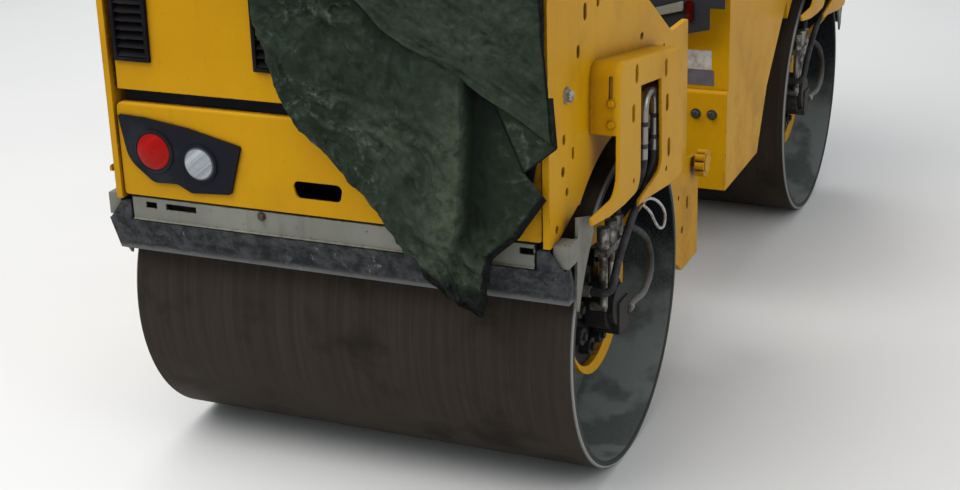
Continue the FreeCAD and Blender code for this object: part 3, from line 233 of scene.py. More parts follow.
def radialFrom(tree, place):
    split = splitPlace(tree, place)
    sideways = maths(tree, "SUBTRACT", maths(tree, "ABSOLUTE", split[1]), drumLook["axleY"])
    flipped = maths(tree, "MULTIPLY", sideways, maths(tree, "SIGN", split[1]))
    upwards = maths(tree, "SUBTRACT", split[2], drumLook["axleZ"])
    ray = addNode(tree, "ShaderNodeCombineXYZ", {1: flipped, 2: upwards}).outputs[0]
    return addNode(tree, "ShaderNodeVectorMath", {0: ray}, operation="NORMALIZE").outputs[0]


drumLow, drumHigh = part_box("front_drum")
drumLook = {
    "half": drumHigh.x, "axleY": (drumLow.y + drumHigh.y) / 2, "axleZ": (drumLow.z + drumHigh.z) / 2,
    "film": colour(0.024, 0.018, 0.0125), "worn": colour(0.034, 0.026, 0.019), "stain": colour(0.014, 0.011, 0.008),
    # inside colours: a near-black colour of paint and painted shade for the upper inside, and a light colour of dust
    # and painted light for the bottom
    "rim": colour(0.30, 0.30, 0.29), "inner": colour(0.005, 0.006, 0.009), "innerStain": colour(0.008, 0.009, 0.010),
    "innerDust": colour(0.165, 0.182, 0.168), "endFace": colour(0.035, 0.036, 0.034),
}


# Moulded and rubber parts

def mouldedMaterial(name, look):
    material, tree, shader, place = newMaterial(name)
    clouds = noiseAt(tree, place, look["patch"], 4.0, 0.6, look.get("stretch"))
    grain = noiseAt(tree, place, look["grain"], 3.0, 0.6)
    wear = ramp(tree, clouds, look["wearFrom"], look["wearFrom"] + 0.22)
    shade = mixColour(tree, wear, look["colour"], look["worn"])
    shade = mixColour(tree, ramp(tree, grain, 0.55, 0.8), shade, look["worn"])
    rough = maths(tree, "ADD", look["roughness"], maths(tree, "MULTIPLY", clouds, 0.2), clamp=True)
    feed(tree, shader, Base_Color=shade, Roughness=rough, Normal=bump(tree, grain, look["bump"], 0.0008))
    feed(tree, shader, Specular_IOR_Level=look.get("specular", 0.10))
    return material


plasticLook = {"colour": colour(0.0060, 0.0073, 0.0105), "worn": colour(0.015, 0.017, 0.022), "patch": 9.0,
               "grain": 900.0, "wearFrom": 0.52, "roughness": 0.44, "bump": 0.25}
ventLook = dict(plasticLook, colour=colour(0.006, 0.006, 0.008), worn=colour(0.014, 0.014, 0.016), specular=0.05)
vinylLook = dict(plasticLook, colour=colour(0.012, 0.012, 0.013), worn=colour(0.03, 0.03, 0.031), patch=8.0,
                 grain=620.0, roughness=0.42, bump=0.35)


def rubberMaterial(look):  # scraper strip: grey mottling, pale scuffs that run down, a pale ragged foot
    material, tree, shader, place = newMaterial("scraperRubber")
    height = splitPlace(tree, place)[2]
    mottle = noiseAt(tree, place, 38.0, 5.0, 0.7)
    scuffs = noiseAt(tree, place, 1.0, 4.0, 0.7, (70.0, 70.0, 9.0))
    wide = noiseAt(tree, place, 6.0, 3.0)
    shade = mixColour(tree, ramp(tree, mottle, 0.35, 0.68), look["colour"], look["worn"])
    pale = maths(tree, "MULTIPLY", ramp(tree, scuffs, 0.60, 0.74), ramp(tree, wide, 0.42, 0.62))
    shade = mixColour(tree, pale, shade, look["scuff"])
    ragged = maths(tree, "ADD", height, maths(tree, "MULTIPLY", maths(tree, "SUBTRACT", mottle, 0.5), 0.03))
    foot = ramp(tree, ragged, look["footZ"] + 0.016, look["footZ"] + 0.002)
    shade = mixColour(tree, maths(tree, "MULTIPLY", foot, 0.55), shade, look["scuff"])
    feed(tree, shader, Base_Color=shade, Roughness=0.8, Normal=bump(tree, mottle, 0.6, 0.0015))
    feed(tree, shader, Specular_IOR_Level=0.08)
    return material


rubberLook = {"colour": colour(0.018, 0.019, 0.022), "worn": colour(0.060, 0.061, 0.063),
              "scuff": colour(0.19, 0.19, 0.185), "footZ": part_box("rear_scraper_flap")[0].z}


def hoseMaterial(look):  # black rubber, worn grey low down, with a steel sleeve and clips in the guard's opening
    material, tree, shader, place = newMaterial("hoseRubber")
    height = splitPlace(tree, place)[2]
    clouds = noiseAt(tree, place, 34.0, 4.0, 0.65)
    braid = noiseAt(tree, place, 700.0, 2.0)
    low = ramp(tree, maths(tree, "ADD", height, maths(tree, "MULTIPLY", clouds, 0.12)), look["wornBelow"], 0.36)
    shade = mixColour(tree, ramp(tree, clouds, 0.40, 0.70), look["colour"], look["worn"])
    shade = mixColour(tree, low, shade, look["grey"])
    sleeve = ramp(tree, height, look["sleeveZ"], look["sleeveZ"] + 0.004)
    for z in look["clips"]:
        apart = maths(tree, "ABSOLUTE", maths(tree, "SUBTRACT", height, z))
        sleeve = maths(tree, "MULTIPLY", sleeve, ramp(tree, apart, look["clipHalf"], look["clipHalf"] + 0.001))
    shade = mixColour(tree, sleeve, shade, look["sleeve"])
    rough = ramp(tree, sleeve, 0.0, 1.0, 0.6, 0.28)
    feed(tree, shader, Base_Color=shade, Roughness=rough, Metallic=maths(tree, "MULTIPLY", sleeve, 0.85))
    feed(tree, shader, Normal=bump(tree, braid, 0.3, 0.0006), Specular_IOR_Level=0.3)
    return material


hoseLook = {"colour": colour(0.012, 0.012, 0.013), "worn": colour(0.045, 0.043, 0.041),
            "grey": colour(0.13, 0.125, 0.12), "sleeve": colour(0.27, 0.26, 0.235), "wornBelow": 0.47,
            "sleeveZ": 0.665, "clips": (0.695, 0.742), "clipHalf": 0.0045}


def metalMaterial(name, shade, dull, roughness, dullFrom=0.42, scale=60.0):
    material, tree, shader, place = newMaterial(name)
    clouds = noiseAt(tree, place, scale, 4.0, 0.65)
    dullness = ramp(tree, clouds, dullFrom, dullFrom + 0.24)
    rough = maths(tree, "ADD", roughness, maths(tree, "MULTIPLY", clouds, 0.25), clamp=True)
    metallic = ramp(tree, dullness, 0.0, 1.0, 1.0, 0.3)
    feed(tree, shader, Base_Color=mixColour(tree, dullness, shade, dull), Metallic=metallic, Roughness=rough)
    feed(tree, shader, Normal=bump(tree, clouds, 0.15, 0.0006))
    return material


def lensMaterial(name, node, look):  # rings and facets are laid out from the lens's own middle; the facet bands are a painted reflection of the reflector behind the lens
    material, tree, shader, place = newMaterial(name)
    low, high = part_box(node)
    radius = (high.z - low.z) / 2
    split = splitPlace(tree, place)
    across = maths(tree, "SUBTRACT", maths(tree, "ABSOLUTE", split[0]), high.x - radius)
    upward = maths(tree, "SUBTRACT", split[2], high.z - radius)
    ray = addNode(tree, "ShaderNodeCombineXYZ", {0: across, 2: upward}).outputs[0]
    reach = addNode(tree, "ShaderNodeVectorMath", {0: ray}, operation="LENGTH").outputs["Value"]
    reach = maths(tree, "DIVIDE", reach, radius)
    slant = maths(tree, "ADD", maths(tree, "MULTIPLY", across, 0.8), upward)
    sweep = addNode(tree, "ShaderNodeCombineXYZ", {0: maths(tree, "MULTIPLY", slant, look["facets"])}).outputs[0]
    facetReflection = noiseAt(tree, sweep, 1.0, 2.0)
    smears = noiseAt(tree, place, 24.0, 4.0)
    # painted reflection: two tones laid into the lens colour in facet bands; the darker one is painted shade of that
    # reflection
    shade = mixColour(tree, ramp(tree, facetReflection, 0.38, 0.62), look["paintedShade"], look["colour"])
    shade = mixColour(tree, ramp(tree, reach, look["rimFrom"], look["rimFrom"] + 0.06), shade, look["rim"])
    shade = mixColour(tree, ramp(tree, smears, 0.58, 0.78, 0.0, 0.25), shade, colour(0.16, 0.14, 0.11))
    feed(tree, shader, Base_Color=shade, Roughness=ramp(tree, smears, 0.3, 0.7, 0.14, 0.35))
    feed(tree, shader, Normal=bump(tree, facetReflection, look["bump"], 0.002), Coat_Weight=look["coat"], Coat_Roughness=0.08)
    feed(tree, shader, Specular_IOR_Level=look["specular"])
    return material


redLens = {"colour": colour(0.33, 0.0045, 0.0025), "paintedShade": colour(0.26, 0.003, 0.002), "facets": 60.0,
           "rim": colour(0.045, 0.002, 0.002), "rimFrom": 0.90, "bump": 0.05, "coat": 0.0, "specular": 0.12}
amberLens = dict(redLens, colour=colour(0.60, 0.17, 0.006), paintedShade=colour(0.42, 0.10, 0.004))
clearLens = {"colour": colour(0.35, 0.37, 0.39), "paintedShade": colour(0.22, 0.23, 0.25), "facets": 70.0,
             "rim": colour(0.045, 0.05, 0.06), "rimFrom": 0.86, "bump": 0.4, "coat": 0.3, "specular": 0.3}


def clothMaterial(look):  # woven sheet: painted highlights along its creases and ridges, with rubbing wear, painted shade in its folds and hollows, and a black hem
    material, tree, shader, place = newMaterial("tarpCloth")
    traits = {name: addNode(tree, "ShaderNodeAttribute", attribute_name=name).outputs["Fac"]
              for name in ("hem", "rise", "paintedShade")}
    clouds = noiseAt(tree, place, 7.0, 5.0, 0.6)
    crinkle = noiseAt(tree, place, 46.0, 5.0, 0.7)
    weave = noiseAt(tree, place, 1500.0, 1.0)
    bent = addNode(tree, "ShaderNodeVectorMath", {0: addNode(tree, "ShaderNodeTexNoise", {
        "Vector": place, "Scale": 9.0, "Detail": 3.0}).outputs["Color"], "Scale": 0.07}, operation="SCALE").outputs[0]
    bent = addNode(tree, "ShaderNodeVectorMath", {0: place, 1: bent}, operation="ADD").outputs[0]
    creases = [addNode(tree, "ShaderNodeTexVoronoi", {"Vector": bent, "Scale": scale},
                       feature="DISTANCE_TO_EDGE").outputs["Distance"] for scale in (17.0, 41.0)]
    pleats = maths(tree, "ADD", ramp(tree, creases[0], 0.0, 0.16, 0.7, 0.0), ramp(tree, creases[1], 0.0, 0.20, 0.3, 0.0))
    wide = noiseAt(tree, place, 4.2, 2.0, 0.5)
    calm = ramp(tree, traits["paintedShade"], 0.1, 0.7, 1.0, 0.25)
    calm = maths(tree, "MULTIPLY", calm, ramp(tree, wide, 0.40, 0.62, 0.22, 1.0))
    pleats = maths(tree, "MULTIPLY", pleats, calm)
    shade = mixColour(tree, ramp(tree, clouds, 0.35, 0.70), look["colour"], look["faded"])
    # painted highlight with rubbing wear on the raised ridges
    litAndRubbed = maths(tree, "MULTIPLY", traits["rise"], ramp(tree, crinkle, 0.30, 0.62, 0.25, 1.0))
    shade = mixColour(tree, litAndRubbed, shade, look["litAndRubbed"])
    # painted highlight along the creases: the pale crease colour is light put into the cloth
    lit = maths(tree, "MULTIPLY", pleats, ramp(tree, crinkle, 0.48, 0.66, 0.0, 0.6))
    shade = mixColour(tree, lit, shade, look["crease"])
    # painted shade: dark in the crinkle's hollows, and darkest where the sheet's painted shade attribute is high
    pitShade = maths(tree, "MULTIPLY", ramp(tree, crinkle, 0.46, 0.34), ramp(tree, clouds, 0.42, 0.60))
    shade = mixColour(tree, maths(tree, "MULTIPLY", pitShade, 0.5), shade, look["paintedShade"])
    shade = mixColour(tree, traits["paintedShade"], shade, look["paintedShade"])
    worn = mixColour(tree, ramp(tree, crinkle, 0.56, 0.70, 0.0, 0.5), look["hem"], look["colour"])
    shade = mixColour(tree, traits["hem"], shade, worn)
    tall = maths(tree, "ADD", maths(tree, "MULTIPLY", crinkle, 0.6), maths(tree, "MULTIPLY", weave, 0.06))
    tall = maths(tree, "ADD", tall, maths(tree, "MULTIPLY", pleats, 0.9))
    feed(tree, shader, Base_Color=shade, Roughness=ramp(tree, crinkle, 0.3, 0.7, 0.60, 0.40))
    feed(tree, shader, Normal=bump(tree, tall, 0.8, 0.006), Specular_IOR_Level=0.09)
    return material


# the pale crease colour is a painted highlight, the ridge colour a painted highlight with rubbing wear, and the darkest
# colour a painted shade
clothLook = {"colour": colour(0.0125, 0.0215, 0.0135), "faded": colour(0.022, 0.034, 0.020),
             "litAndRubbed": colour(0.055, 0.068, 0.042), "crease": colour(0.13, 0.16, 0.125),
             "paintedShade": colour(0.0025, 0.004, 0.0025), "hem": colour(0.003, 0.003, 0.0035)}
zincSteel = metalMaterial("zincSteel", colour(0.50, 0.50, 0.49), colour(0.12, 0.10, 0.08), 0.30)
finishes = {
    "yellow_paint": paintMaterial("yellowPaint", yellowLook),
    "grey_paint": paintMaterial("greyPaint", greyLook),
    "dark_paint": paintMaterial("darkPaint", darkLook),
    "motor_black": paintMaterial("motorPaint", motorLook),
    "engine_grey": paintMaterial("castIron", castLook),
    "drum_steel": drumMaterial(drumLook),
    "black_plastic": mouldedMaterial("blackPlastic", plasticLook),
    "black_rubber": rubberMaterial(rubberLook),
    "hose_rubber": hoseMaterial(hoseLook),
    "seat_vinyl": mouldedMaterial("seatVinyl", vinylLook),
    "bolt_steel": zincSteel,
    "chrome_rod": metalMaterial("chromeRod", colour(0.78, 0.78, 0.79), colour(0.60, 0.60, 0.60), 0.06),
    "red_lens": lensMaterial("redLens", "rear_outer_lenses", redLens),
    "amber_lens": lensMaterial("amberLens", "front_outer_lenses", amberLens),
    "clear_lens": lensMaterial("clearLens", "rear_inner_lenses", clearLens),
    "tarp_cloth": clothMaterial(clothLook),
}
rustySteel = metalMaterial("rustySteel", colour(0.11, 0.075, 0.05), colour(0.055, 0.034, 0.020), 0.6, 0.35, 90.0)
darkSteel = metalMaterial("darkSteel", colour(0.10, 0.10, 0.10), colour(0.035, 0.028, 0.022), 0.42, 0.40)
unionSteel = metalMaterial("unionSteel", colour(0.30, 0.29, 0.26), colour(0.045, 0.038, 0.030), 0.38, 0.36, 45.0)
ventPlastic = mouldedMaterial("ventPlastic", ventLook)
slotOf = {row["node"]: row["material_slot"] for row in frame["record"]["subparts"]}
special = {"hood_vents": ventPlastic, "hood_seal": ventPlastic, "rear_unions": unionSteel, "front_unions": unionSteel}
for name, item in nodes.items():
    item.data.materials.clear()
    item.data.materials.append(special.get(name, finishes[slotOf[name]]))
print("finishes set on", len(nodes), "nodes")


# Helpers for meshes and finished pieces

def newPiece(name, mesh, body, slotName, *materials):
    item = bpy.data.objects.new(name, mesh)
    bpy.context.scene.collection.objects.link(item)
    mesh.materials.clear()
    for material in materials:
        mesh.materials.append(material)
    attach(item, body)
    return item


def lineValue(table, at):  # value at a height along a table of (height, value), heights rising
    for (h0, v0), (h1, v1) in zip(table, table[1:]):
        if at <= h1:
            return v0 + (v1 - v0) * max(0.0, (at - h0) / (h1 - h0))
    return table[-1][1]


def smooth(value, low, high):
    part = min(1.0, max(0.0, (value - low) / (high - low)))
    return part * part * (3.0 - 2.0 * part)


def shadeSmooth(mesh, on=True):
    mesh.polygons.foreach_set("use_smooth", [on] * len(mesh.polygons))


# Tarp: a lower layer that hangs to a point, an upper layer folded over it, and a small corner between

tarpLow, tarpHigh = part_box("tarp")
tarpLook = {
    "rearY": tarpLow.y + 0.038, "topZ": tarpHigh.z - 0.040, "frontY": tarpHigh.y, "bend": 0.085, "step": 0.0052,
    "columns": 122, "thickness": 0.0022, "lapOver": 0.015, "flat": (0.63, 2.01), "foldHeight": 0.021, "highest": 0.031,
    # edges as (height, x)
    "left": ((0.474, 0.347), (0.508, 0.271), (0.534, 0.235), (0.567, 0.215), (0.589, 0.185), (0.632, 0.160),
             (0.697, 0.105), (0.744, 0.065), (0.789, 0.020), (0.825, -0.021), (0.858, -0.048), (0.901, -0.064),
             (0.944, -0.077), (0.973, -0.083), (1.015, -0.101), (1.063, -0.104), (1.12, -0.122), (1.7, -0.145)),
    "right": ((0.474, 0.350), (0.525, 0.365), (0.597, 0.375), (0.620, 0.401), (0.644, 0.429), (0.724, 0.484),
              (0.748, 0.462), (0.772, 0.440), (0.836, 0.462), (1.0, 0.482), (1.7, 0.486)),
    "upperLeft": ((0.836, 0.503), (0.877, 0.443), (0.917, 0.371), (0.958, 0.299), (0.991, 0.235), (1.024, 0.171),
                  (1.076, 0.120), (1.14, 0.030), (1.25, -0.085), (1.7, -0.115)),
    "upperRight": ((0.836, 0.507), (0.919, 0.499), (1.009, 0.492), (1.098, 0.485), (1.7, 0.486)),
    "deepFold": ((0.560, 0.268), (0.609, 0.296), (0.660, 0.312), (0.760, 0.322), (0.857, 0.328), (0.933, 0.330),
                 (1.7, 0.335)),
    "hem": (((0.215, 0.567), (0.271, 0.508)), ((0.271, 0.508), (0.348, 0.474)), ((0.348, 0.474), (0.365, 0.525)),
            ((0.365, 0.525), (0.375, 0.597)), ((0.375, 0.597), (0.429, 0.644)), ((0.429, 0.644), (0.484, 0.724))),
}


def sheetPoint(s, x, out):  # a point of the tarp: s runs up the rear and over the hood, out is the fold's height
    look = tarpLook
    upTo = look["topZ"] - look["bend"]
    quarter = look["bend"] * math.pi / 2
    if s <= upTo:
        return Vector((x, look["rearY"] - out, s))
    if s <= upTo + quarter:
        turn = (s - upTo) / look["bend"]
        reach = look["bend"] + out
        return Vector((x, look["rearY"] + look["bend"] - reach * math.cos(turn), upTo + reach * math.sin(turn)))
    return Vector((x, look["rearY"] + look["bend"] + s - upTo - quarter, look["topZ"] + out))


def cells(x, z, scale, seed):  # bowls with sharp ridges between them, as in crumpled cloth
    near = noise.voronoi(Vector((x * scale, z * scale, seed)))[0][0]
    return near * near


def segmentGap(x, z, start, end):
    line = Vector(end) - Vector(start)
    part = min(1.0, max(0.0, (Vector((x, z)) - Vector(start)).dot(line) / line.length_squared))
    return (Vector(start) + line * part - Vector((x, z))).length


def lowerFolds(x, z):  # fold height, painted highlight with rubbing wear on the ridges, and painted shade of the lower layer
    warp = noise.noise(Vector((x * 7.0, z * 7.0, 3.0))) * 0.012
    run = (x * 0.62 - z * 0.78) + warp
    side = (x * 0.78 + z * 0.62) + warp
    strength = smooth(z, 0.56, 0.66)
    off = x - lineValue(tarpLook["deepFold"], z)
    if off < 0:
        ridge = math.exp(-(off / 0.048) ** 2)
    else:
        ridge = math.exp(-(off / 0.011) ** 2)
    sunk = math.exp(-max(off, 0.0) / 0.10) * smooth(off, 0.004, 0.018)
    height = strength * (tarpLook["foldHeight"] * ridge - 0.012 * sunk)
    rolls = math.sin(side * 34.0 + noise.noise(Vector((side * 3.0, run * 4.0, 8.0))) * 2.4)
    height += 0.0045 * rolls * smooth(z, 1.12, 0.98) * (1.0 - 0.8 * smooth(off, -0.02, 0.02))
    hollow = math.exp(-((x - 0.10) / 0.055) ** 2 - ((z - 0.91) / 0.06) ** 2)
    height -= 0.008 * hollow
    rough = 1.0 - 0.75 * smooth(off, -0.01, 0.03) * smooth(z, 0.62, 0.70) - 0.4 * hollow
    height += rough * (0.030 * cells(run * 0.55, side, 11.0, 1.0) + 0.014 * cells(run * 0.7, side, 27.0, 5.0)
                       + 0.0050 * cells(run, side, 64.0, 9.0) - 0.007)
    crumple = math.exp(-((x - 0.27) / 0.07) ** 2 - ((z - 0.60) / 0.07) ** 2)
    height += crumple * 0.012 * (cells(x, z, 22.0, 2.0) - 0.3)
    gather = math.exp(-((x - 0.135) / 0.045) ** 2 - ((z - 0.815) / 0.035) ** 2)
    height += gather * 0.0020 * math.sin(run * 520.0 + 260.0 * warp)
    band = math.exp(-((side - 0.655 - 0.05 * (z - 0.8)) / 0.045) ** 2) * smooth(z, 0.62, 0.70) * smooth(z, 1.05, 0.95)
    # painted highlight with some rubbing wear: lighter along the fold's ridge, in the gathered and crumpled patches and
    # on a diagonal band
    rise = 0.75 * strength * ridge * (1.0 if off < 0 else 0.2) + 0.5 * gather + 0.6 * crumple + 0.35 * band
    for along, across, tall in ((9.0, 30.0, 0.0075), (24.0, 66.0, 0.0032)):  # sharp creases along the folds
        crease = abs(noise.noise(Vector((run * along, side * across + warp * 200.0, tall * 900.0))))
        height += rough * tall * max(-0.3, 1.0 - 3.4 * crease)
    under = lineValue(tarpLook["upperLeft"], z) - x
    shadow = 0.65 * math.exp(-max(under, 0.0) / 0.035) if z > 0.85 else 0.0  # just below the upper layer's hem
    covered = smooth(-under, 0.0, 0.045) * smooth(z, 0.84, 0.90)
    height += (-0.003 - height) * covered
    # painted shade: dark in the sunk panel beside the deep fold, in the hollow and just below the upper layer's hem
    paintedShade = strength * 1.0 * sunk * smooth(off, -0.002, 0.008) + 0.55 * hollow + shadow
    return height, min(1.0, rise), min(1.0, paintedShade)


def upperFolds(x, z):
    run = x * 0.86 - z * 0.51
    side = x * 0.51 + z * 0.86
    warp = noise.noise(Vector((x * 9.0, z * 9.0, 6.0))) * 0.010
    height = 0.014 * cells(run * 0.45 + warp, side, 17.0, 12.0)
    height += 0.0036 * (1.0 - 2.2 * abs(noise.noise(Vector((run * 22.0 + warp * 60.0, side * 62.0, 4.0)))))
    height += 0.0022 * (1.0 - 2.2 * abs(noise.noise(Vector((x * 60.0, z * 130.0, 7.0)))))
    # painted highlight with some wear: lighter along the upper layer's folded-over left edge and on its raised
    # wrinkles; the 0.12 below darkens the whole layer a little with painted shade
    hem = 0.35 * math.exp(-max(x - lineValue(tarpLook["upperLeft"], z), 0.0) / 0.03)
    return height, hem + 0.28 * smooth(height, 0.002, 0.008), 0.12


def layRows(parts, rows, columns, edges, lift, folds, hems):
    verts, faces, traits = parts
    first = len(verts)
    across = columns + 1
    for s in rows:
        x0, x1 = (lineValue(edge, s) for edge in edges)
        for step in range(across):
            x = x0 + (x1 - x0) * step / columns
            height, rise, paintedShade = folds(x, s)
            droop = 0.030 * smooth(x, 0.452, 0.490) * smooth(s, 1.22, 1.30)
            edgeGap = min(x - x0, x1 - x)
            curl = 0.004 * smooth(edgeGap, 0.010, 0.0)
            height += lift
            if height > 0.018:  # the folds stay within the space of the solid
                room = tarpLook["highest"] - 0.018
                height = 0.018 + room * math.tanh((height - 0.018) / room)
            verts.append(sheetPoint(s, x, height - droop - curl))
            band = 1.0 - smooth(edgeGap, 0.003, 0.005)
            if hems:
                gap = min(segmentGap(x, s, *part) for part in hems)
                slant = 0.556 + 0.30 * (0.30 - x)
                band = max(1.0 - smooth(gap, 0.011, 0.015), 0.85 * smooth(s, slant, slant - 0.025))
            traits.append((band, rise, paintedShade))
    for row in range(len(rows) - 1):
        for step in range(columns):
            corner = first + row * across + step
            faces.append((corner, corner + 1, corner + across + 1, corner + across))


def makeTarp():
    look = tarpLook
    parts = ([], [], [])
    upTo = look["topZ"] - look["bend"]
    end = upTo + look["bend"] * math.pi / 2 + look["frontY"] - look["rearY"] - look["bend"]
    lowerRows = [0.474 + look["step"] * k for k in range(int((end - 0.474) / look["step"]))]
    upperRows = [0.836 + look["step"] * k for k in range(int((end - 0.836) / look["step"]))]
    layRows(parts, lowerRows, look["columns"], (look["left"], look["right"]), 0.0, lowerFolds, look["hem"])
    layRows(parts, upperRows, look["columns"], (look["upperLeft"], look["upperRight"]), look["lapOver"],
            upperFolds, None)
    corner = (((0.772, 0.441), (0.913, 0.379), (0.93, 0.372)), ((0.772, 0.4415), (0.826, 0.508), (0.93, 0.50)))
    # the small corner gets a little painted shade, more of it towards its left end
    layRows(parts, [0.772 + 0.004 * k for k in range(38)], 26, corner, 0.004,
            lambda x, z: (0.002 * cells(x, z, 30.0, 3.0), 0.15, 0.1 + 0.4 * smooth(x, 0.43, 0.39)), None)
    mesh = bpy.data.meshes.new("tarpSheet")
    mesh.from_pydata(parts[0], [], parts[1])
    for index, name in enumerate(("hem", "rise", "paintedShade")):
        layer = mesh.attributes.new(name, "FLOAT", "POINT")
        layer.data.foreach_set("value", [traits[index] for traits in parts[2]])
    shadeSmooth(mesh)
    tarp = newPiece("tarpSheet", mesh, "engine_hood", "tarp_cloth", finishes["tarp_cloth"])
    wall = tarp.modifiers.new("wall", "SOLIDIFY")
    wall.thickness = look["thickness"]
    wall.offset = -1.0
    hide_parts("tarp")
    print("tarp laid:", len(parts[1]), "faces")


makeTarp()


# Seat: each cushion starts as its solid, is blown up as cloth, then gets channels, a welt and stitches

cushionLooks = {
    "seatCushion": {"node": "seat_cushion", "out": (0.0, 0.0, 1.0), "shrink": 0.010, "voxel": 0.006, "cap": 0.016,
                    "pressure": 4.0, "channels": (-0.12, 0.12), "cross": (0.11,), "depth": 0.006, "width": 0.006,
                    "welt": 0.0033, "drop": 0.020, "fill": 0.85},
    "seatBack": {"node": "seat_back", "out": (0.0, 1.0, 0.0), "shrink": 0.009, "voxel": 0.006, "cap": 0.016,
                 "pressure": 4.0, "channels": (-0.12, 0.12), "cross": (-0.10, 0.04), "depth": 0.006, "width": 0.006,
                 "welt": 0.0033, "drop": 0.018, "fill": 0.85},
}
stitchLook = {"spacing": 0.0065, "length": 0.0042, "thickness": 0.0008}


def stitchTree():
    tree = bpy.data.node_groups.new("seamStitches", "GeometryNodeTree")
    face = tree.interface
    face.new_socket("Seam", in_out="INPUT", socket_type="NodeSocketGeometry")
    for name in ("Spacing", "Length", "Thickness"):
        face.new_socket(name, in_out="INPUT", socket_type="NodeSocketFloat")
    face.new_socket("Thread", in_out="INPUT", socket_type="NodeSocketMaterial")
    face.new_socket("Stitches", in_out="OUTPUT", socket_type="NodeSocketGeometry")
    given = tree.nodes.new("NodeGroupInput").outputs
    spaced = addNode(tree, "GeometryNodeResampleCurve", {"Curve": given["Seam"], "Length": given["Spacing"]},
                     mode="LENGTH").outputs[0]
    tangent = addNode(tree, "GeometryNodeInputTangent").outputs[0]
    turn = addNode(tree, "FunctionNodeAlignRotationToVector", {"Vector": tangent}, axis="Z").outputs[0]
    stitch = addNode(tree, "GeometryNodeMeshCylinder", {"Vertices": 6, "Radius": given["Thickness"],
                                                        "Depth": given["Length"]}).outputs["Mesh"]
    placed = addNode(tree, "GeometryNodeInstanceOnPoints", {"Points": spaced, "Instance": stitch, "Rotation": turn})
    real = addNode(tree, "GeometryNodeRealizeInstances", {0: placed.outputs[0]}).outputs[0]
    done = addNode(tree, "GeometryNodeSetMaterial", {"Geometry": real, "Material": given["Thread"]}).outputs[0]
    addNode(tree, "NodeGroupOutput", {"Stitches": done})
    return tree


def bakeTree(item, tree, values):  # runs a tree on an object and gives its result as a plain mesh
    modifier = item.modifiers.new(tree.name, "NODES")
    modifier.node_group = tree
    for socket in tree.interface.items_tree:
        if socket.in_out == "INPUT" and socket.name in values:
            modifier[socket.identifier] = values[socket.name]
    bpy.context.view_layer.update()
    mesh = bpy.data.meshes.new_from_object(item.evaluated_get(bpy.context.evaluated_depsgraph_get()))
    item.modifiers.remove(modifier)
    return mesh


def evaluated(item):
    return bpy.data.meshes.new_from_object(item.evaluated_get(bpy.context.evaluated_depsgraph_get()))


def cushionAxes(mesh, roughOut):
    out = Vector()
    for face in mesh.polygons:
        if face.normal.dot(roughOut) > 0.7:
            out += face.normal * face.area
    out.normalize()
    side = Vector((1.0, 0.0, 0.0))
    return side, out.cross(side).normalized(), out


def makeCushion(name, look):
    scene = bpy.context.scene
    mesh = bmesh.new()
    mesh.from_mesh(nodes[look["node"]].data)
    bmesh.ops.remove_doubles(mesh, verts=mesh.verts, dist=0.00002)
    side, along, out = cushionAxes(nodes[look["node"]].data, Vector(look["out"]))
    mesh.normal_update()
    for vert in mesh.verts:
        inward = vert.normal * -look["shrink"]
        if vert.normal.dot(out) < -0.05:
            inward -= out * inward.dot(out)  # the back stays on what carries it
        vert.co += inward
    start = bpy.data.meshes.new(name)
    mesh.to_mesh(start)
    mesh.free()
    pad = bpy.data.objects.new(name, start)
    scene.collection.objects.link(pad)
    remesh = pad.modifiers.new("remesh", "REMESH")
    remesh.mode = "VOXEL"
    remesh.voxel_size = look["voxel"]
    pad.data = evaluated(pad)
    pad.modifiers.clear()
    rest = [vert.co.copy() for vert in pad.data.vertices]
    backward = [vert.normal.dot(out) < -0.5 for vert in pad.data.vertices]
    cloth = pad.modifiers.new("cloth", "CLOTH")
    cloth.settings.quality = 5
    cloth.settings.mass = 0.3
    cloth.settings.use_pressure = True
    cloth.settings.uniform_pressure_force = look["pressure"]
    cloth.settings.effector_weights.gravity = 0.0
    cloth.point_cache.frame_start = 1
    cloth.point_cache.frame_end = 20
    for number in range(1, 21):
        scene.frame_set(number)
    swollen = evaluated(pad)
    for vert, place, back in zip(swollen.vertices, rest, backward):
        moved = vert.co - place
        if back or moved.dot(out) < 0.0:
            moved -= out * min(0.0, moved.dot(out))
        if moved.length > look["cap"]:
            moved *= look["cap"] / moved.length
        vert.co = place + moved
    pad.modifiers.clear()
    pad.data = swollen
    scene.frame_set(1)
    round_ = pad.modifiers.new("round", "SUBSURF")
    round_.levels = round_.render_levels = 1
    pad.data = evaluated(pad)
    pad.modifiers.clear()
    places = [vert.co.copy() for vert in pad.data.vertices]
    showing = [smooth(vert.normal.dot(out), 0.25, 0.75) for vert in pad.data.vertices]  # read before any vertex moves
    middle = sum(places, Vector()) / len(places)
    for vert, place, shown in zip(pad.data.vertices, places, showing):
        u, v = (place - middle).dot(side), (place - middle).dot(along)
        near = min([abs(u - line) for line in look["channels"]] + [abs(v - line) for line in look["cross"]
                                                                   if abs(u) < 0.12] + [1.0])
        vert.co = place - out * look["depth"] * shown * math.exp(-(near / look["width"]) ** 2)
    shadeSmooth(pad.data)
    seams(name, pad.data, middle, (side, along, out), look)
    mesh = pad.data
    bpy.data.objects.remove(pad)
    cushion = newPiece(name, mesh, "front_frame", "seat_vinyl", finishes["seat_vinyl"])
    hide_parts(look["node"])
    print(name, "blown up:", len(mesh.polygons), "faces")


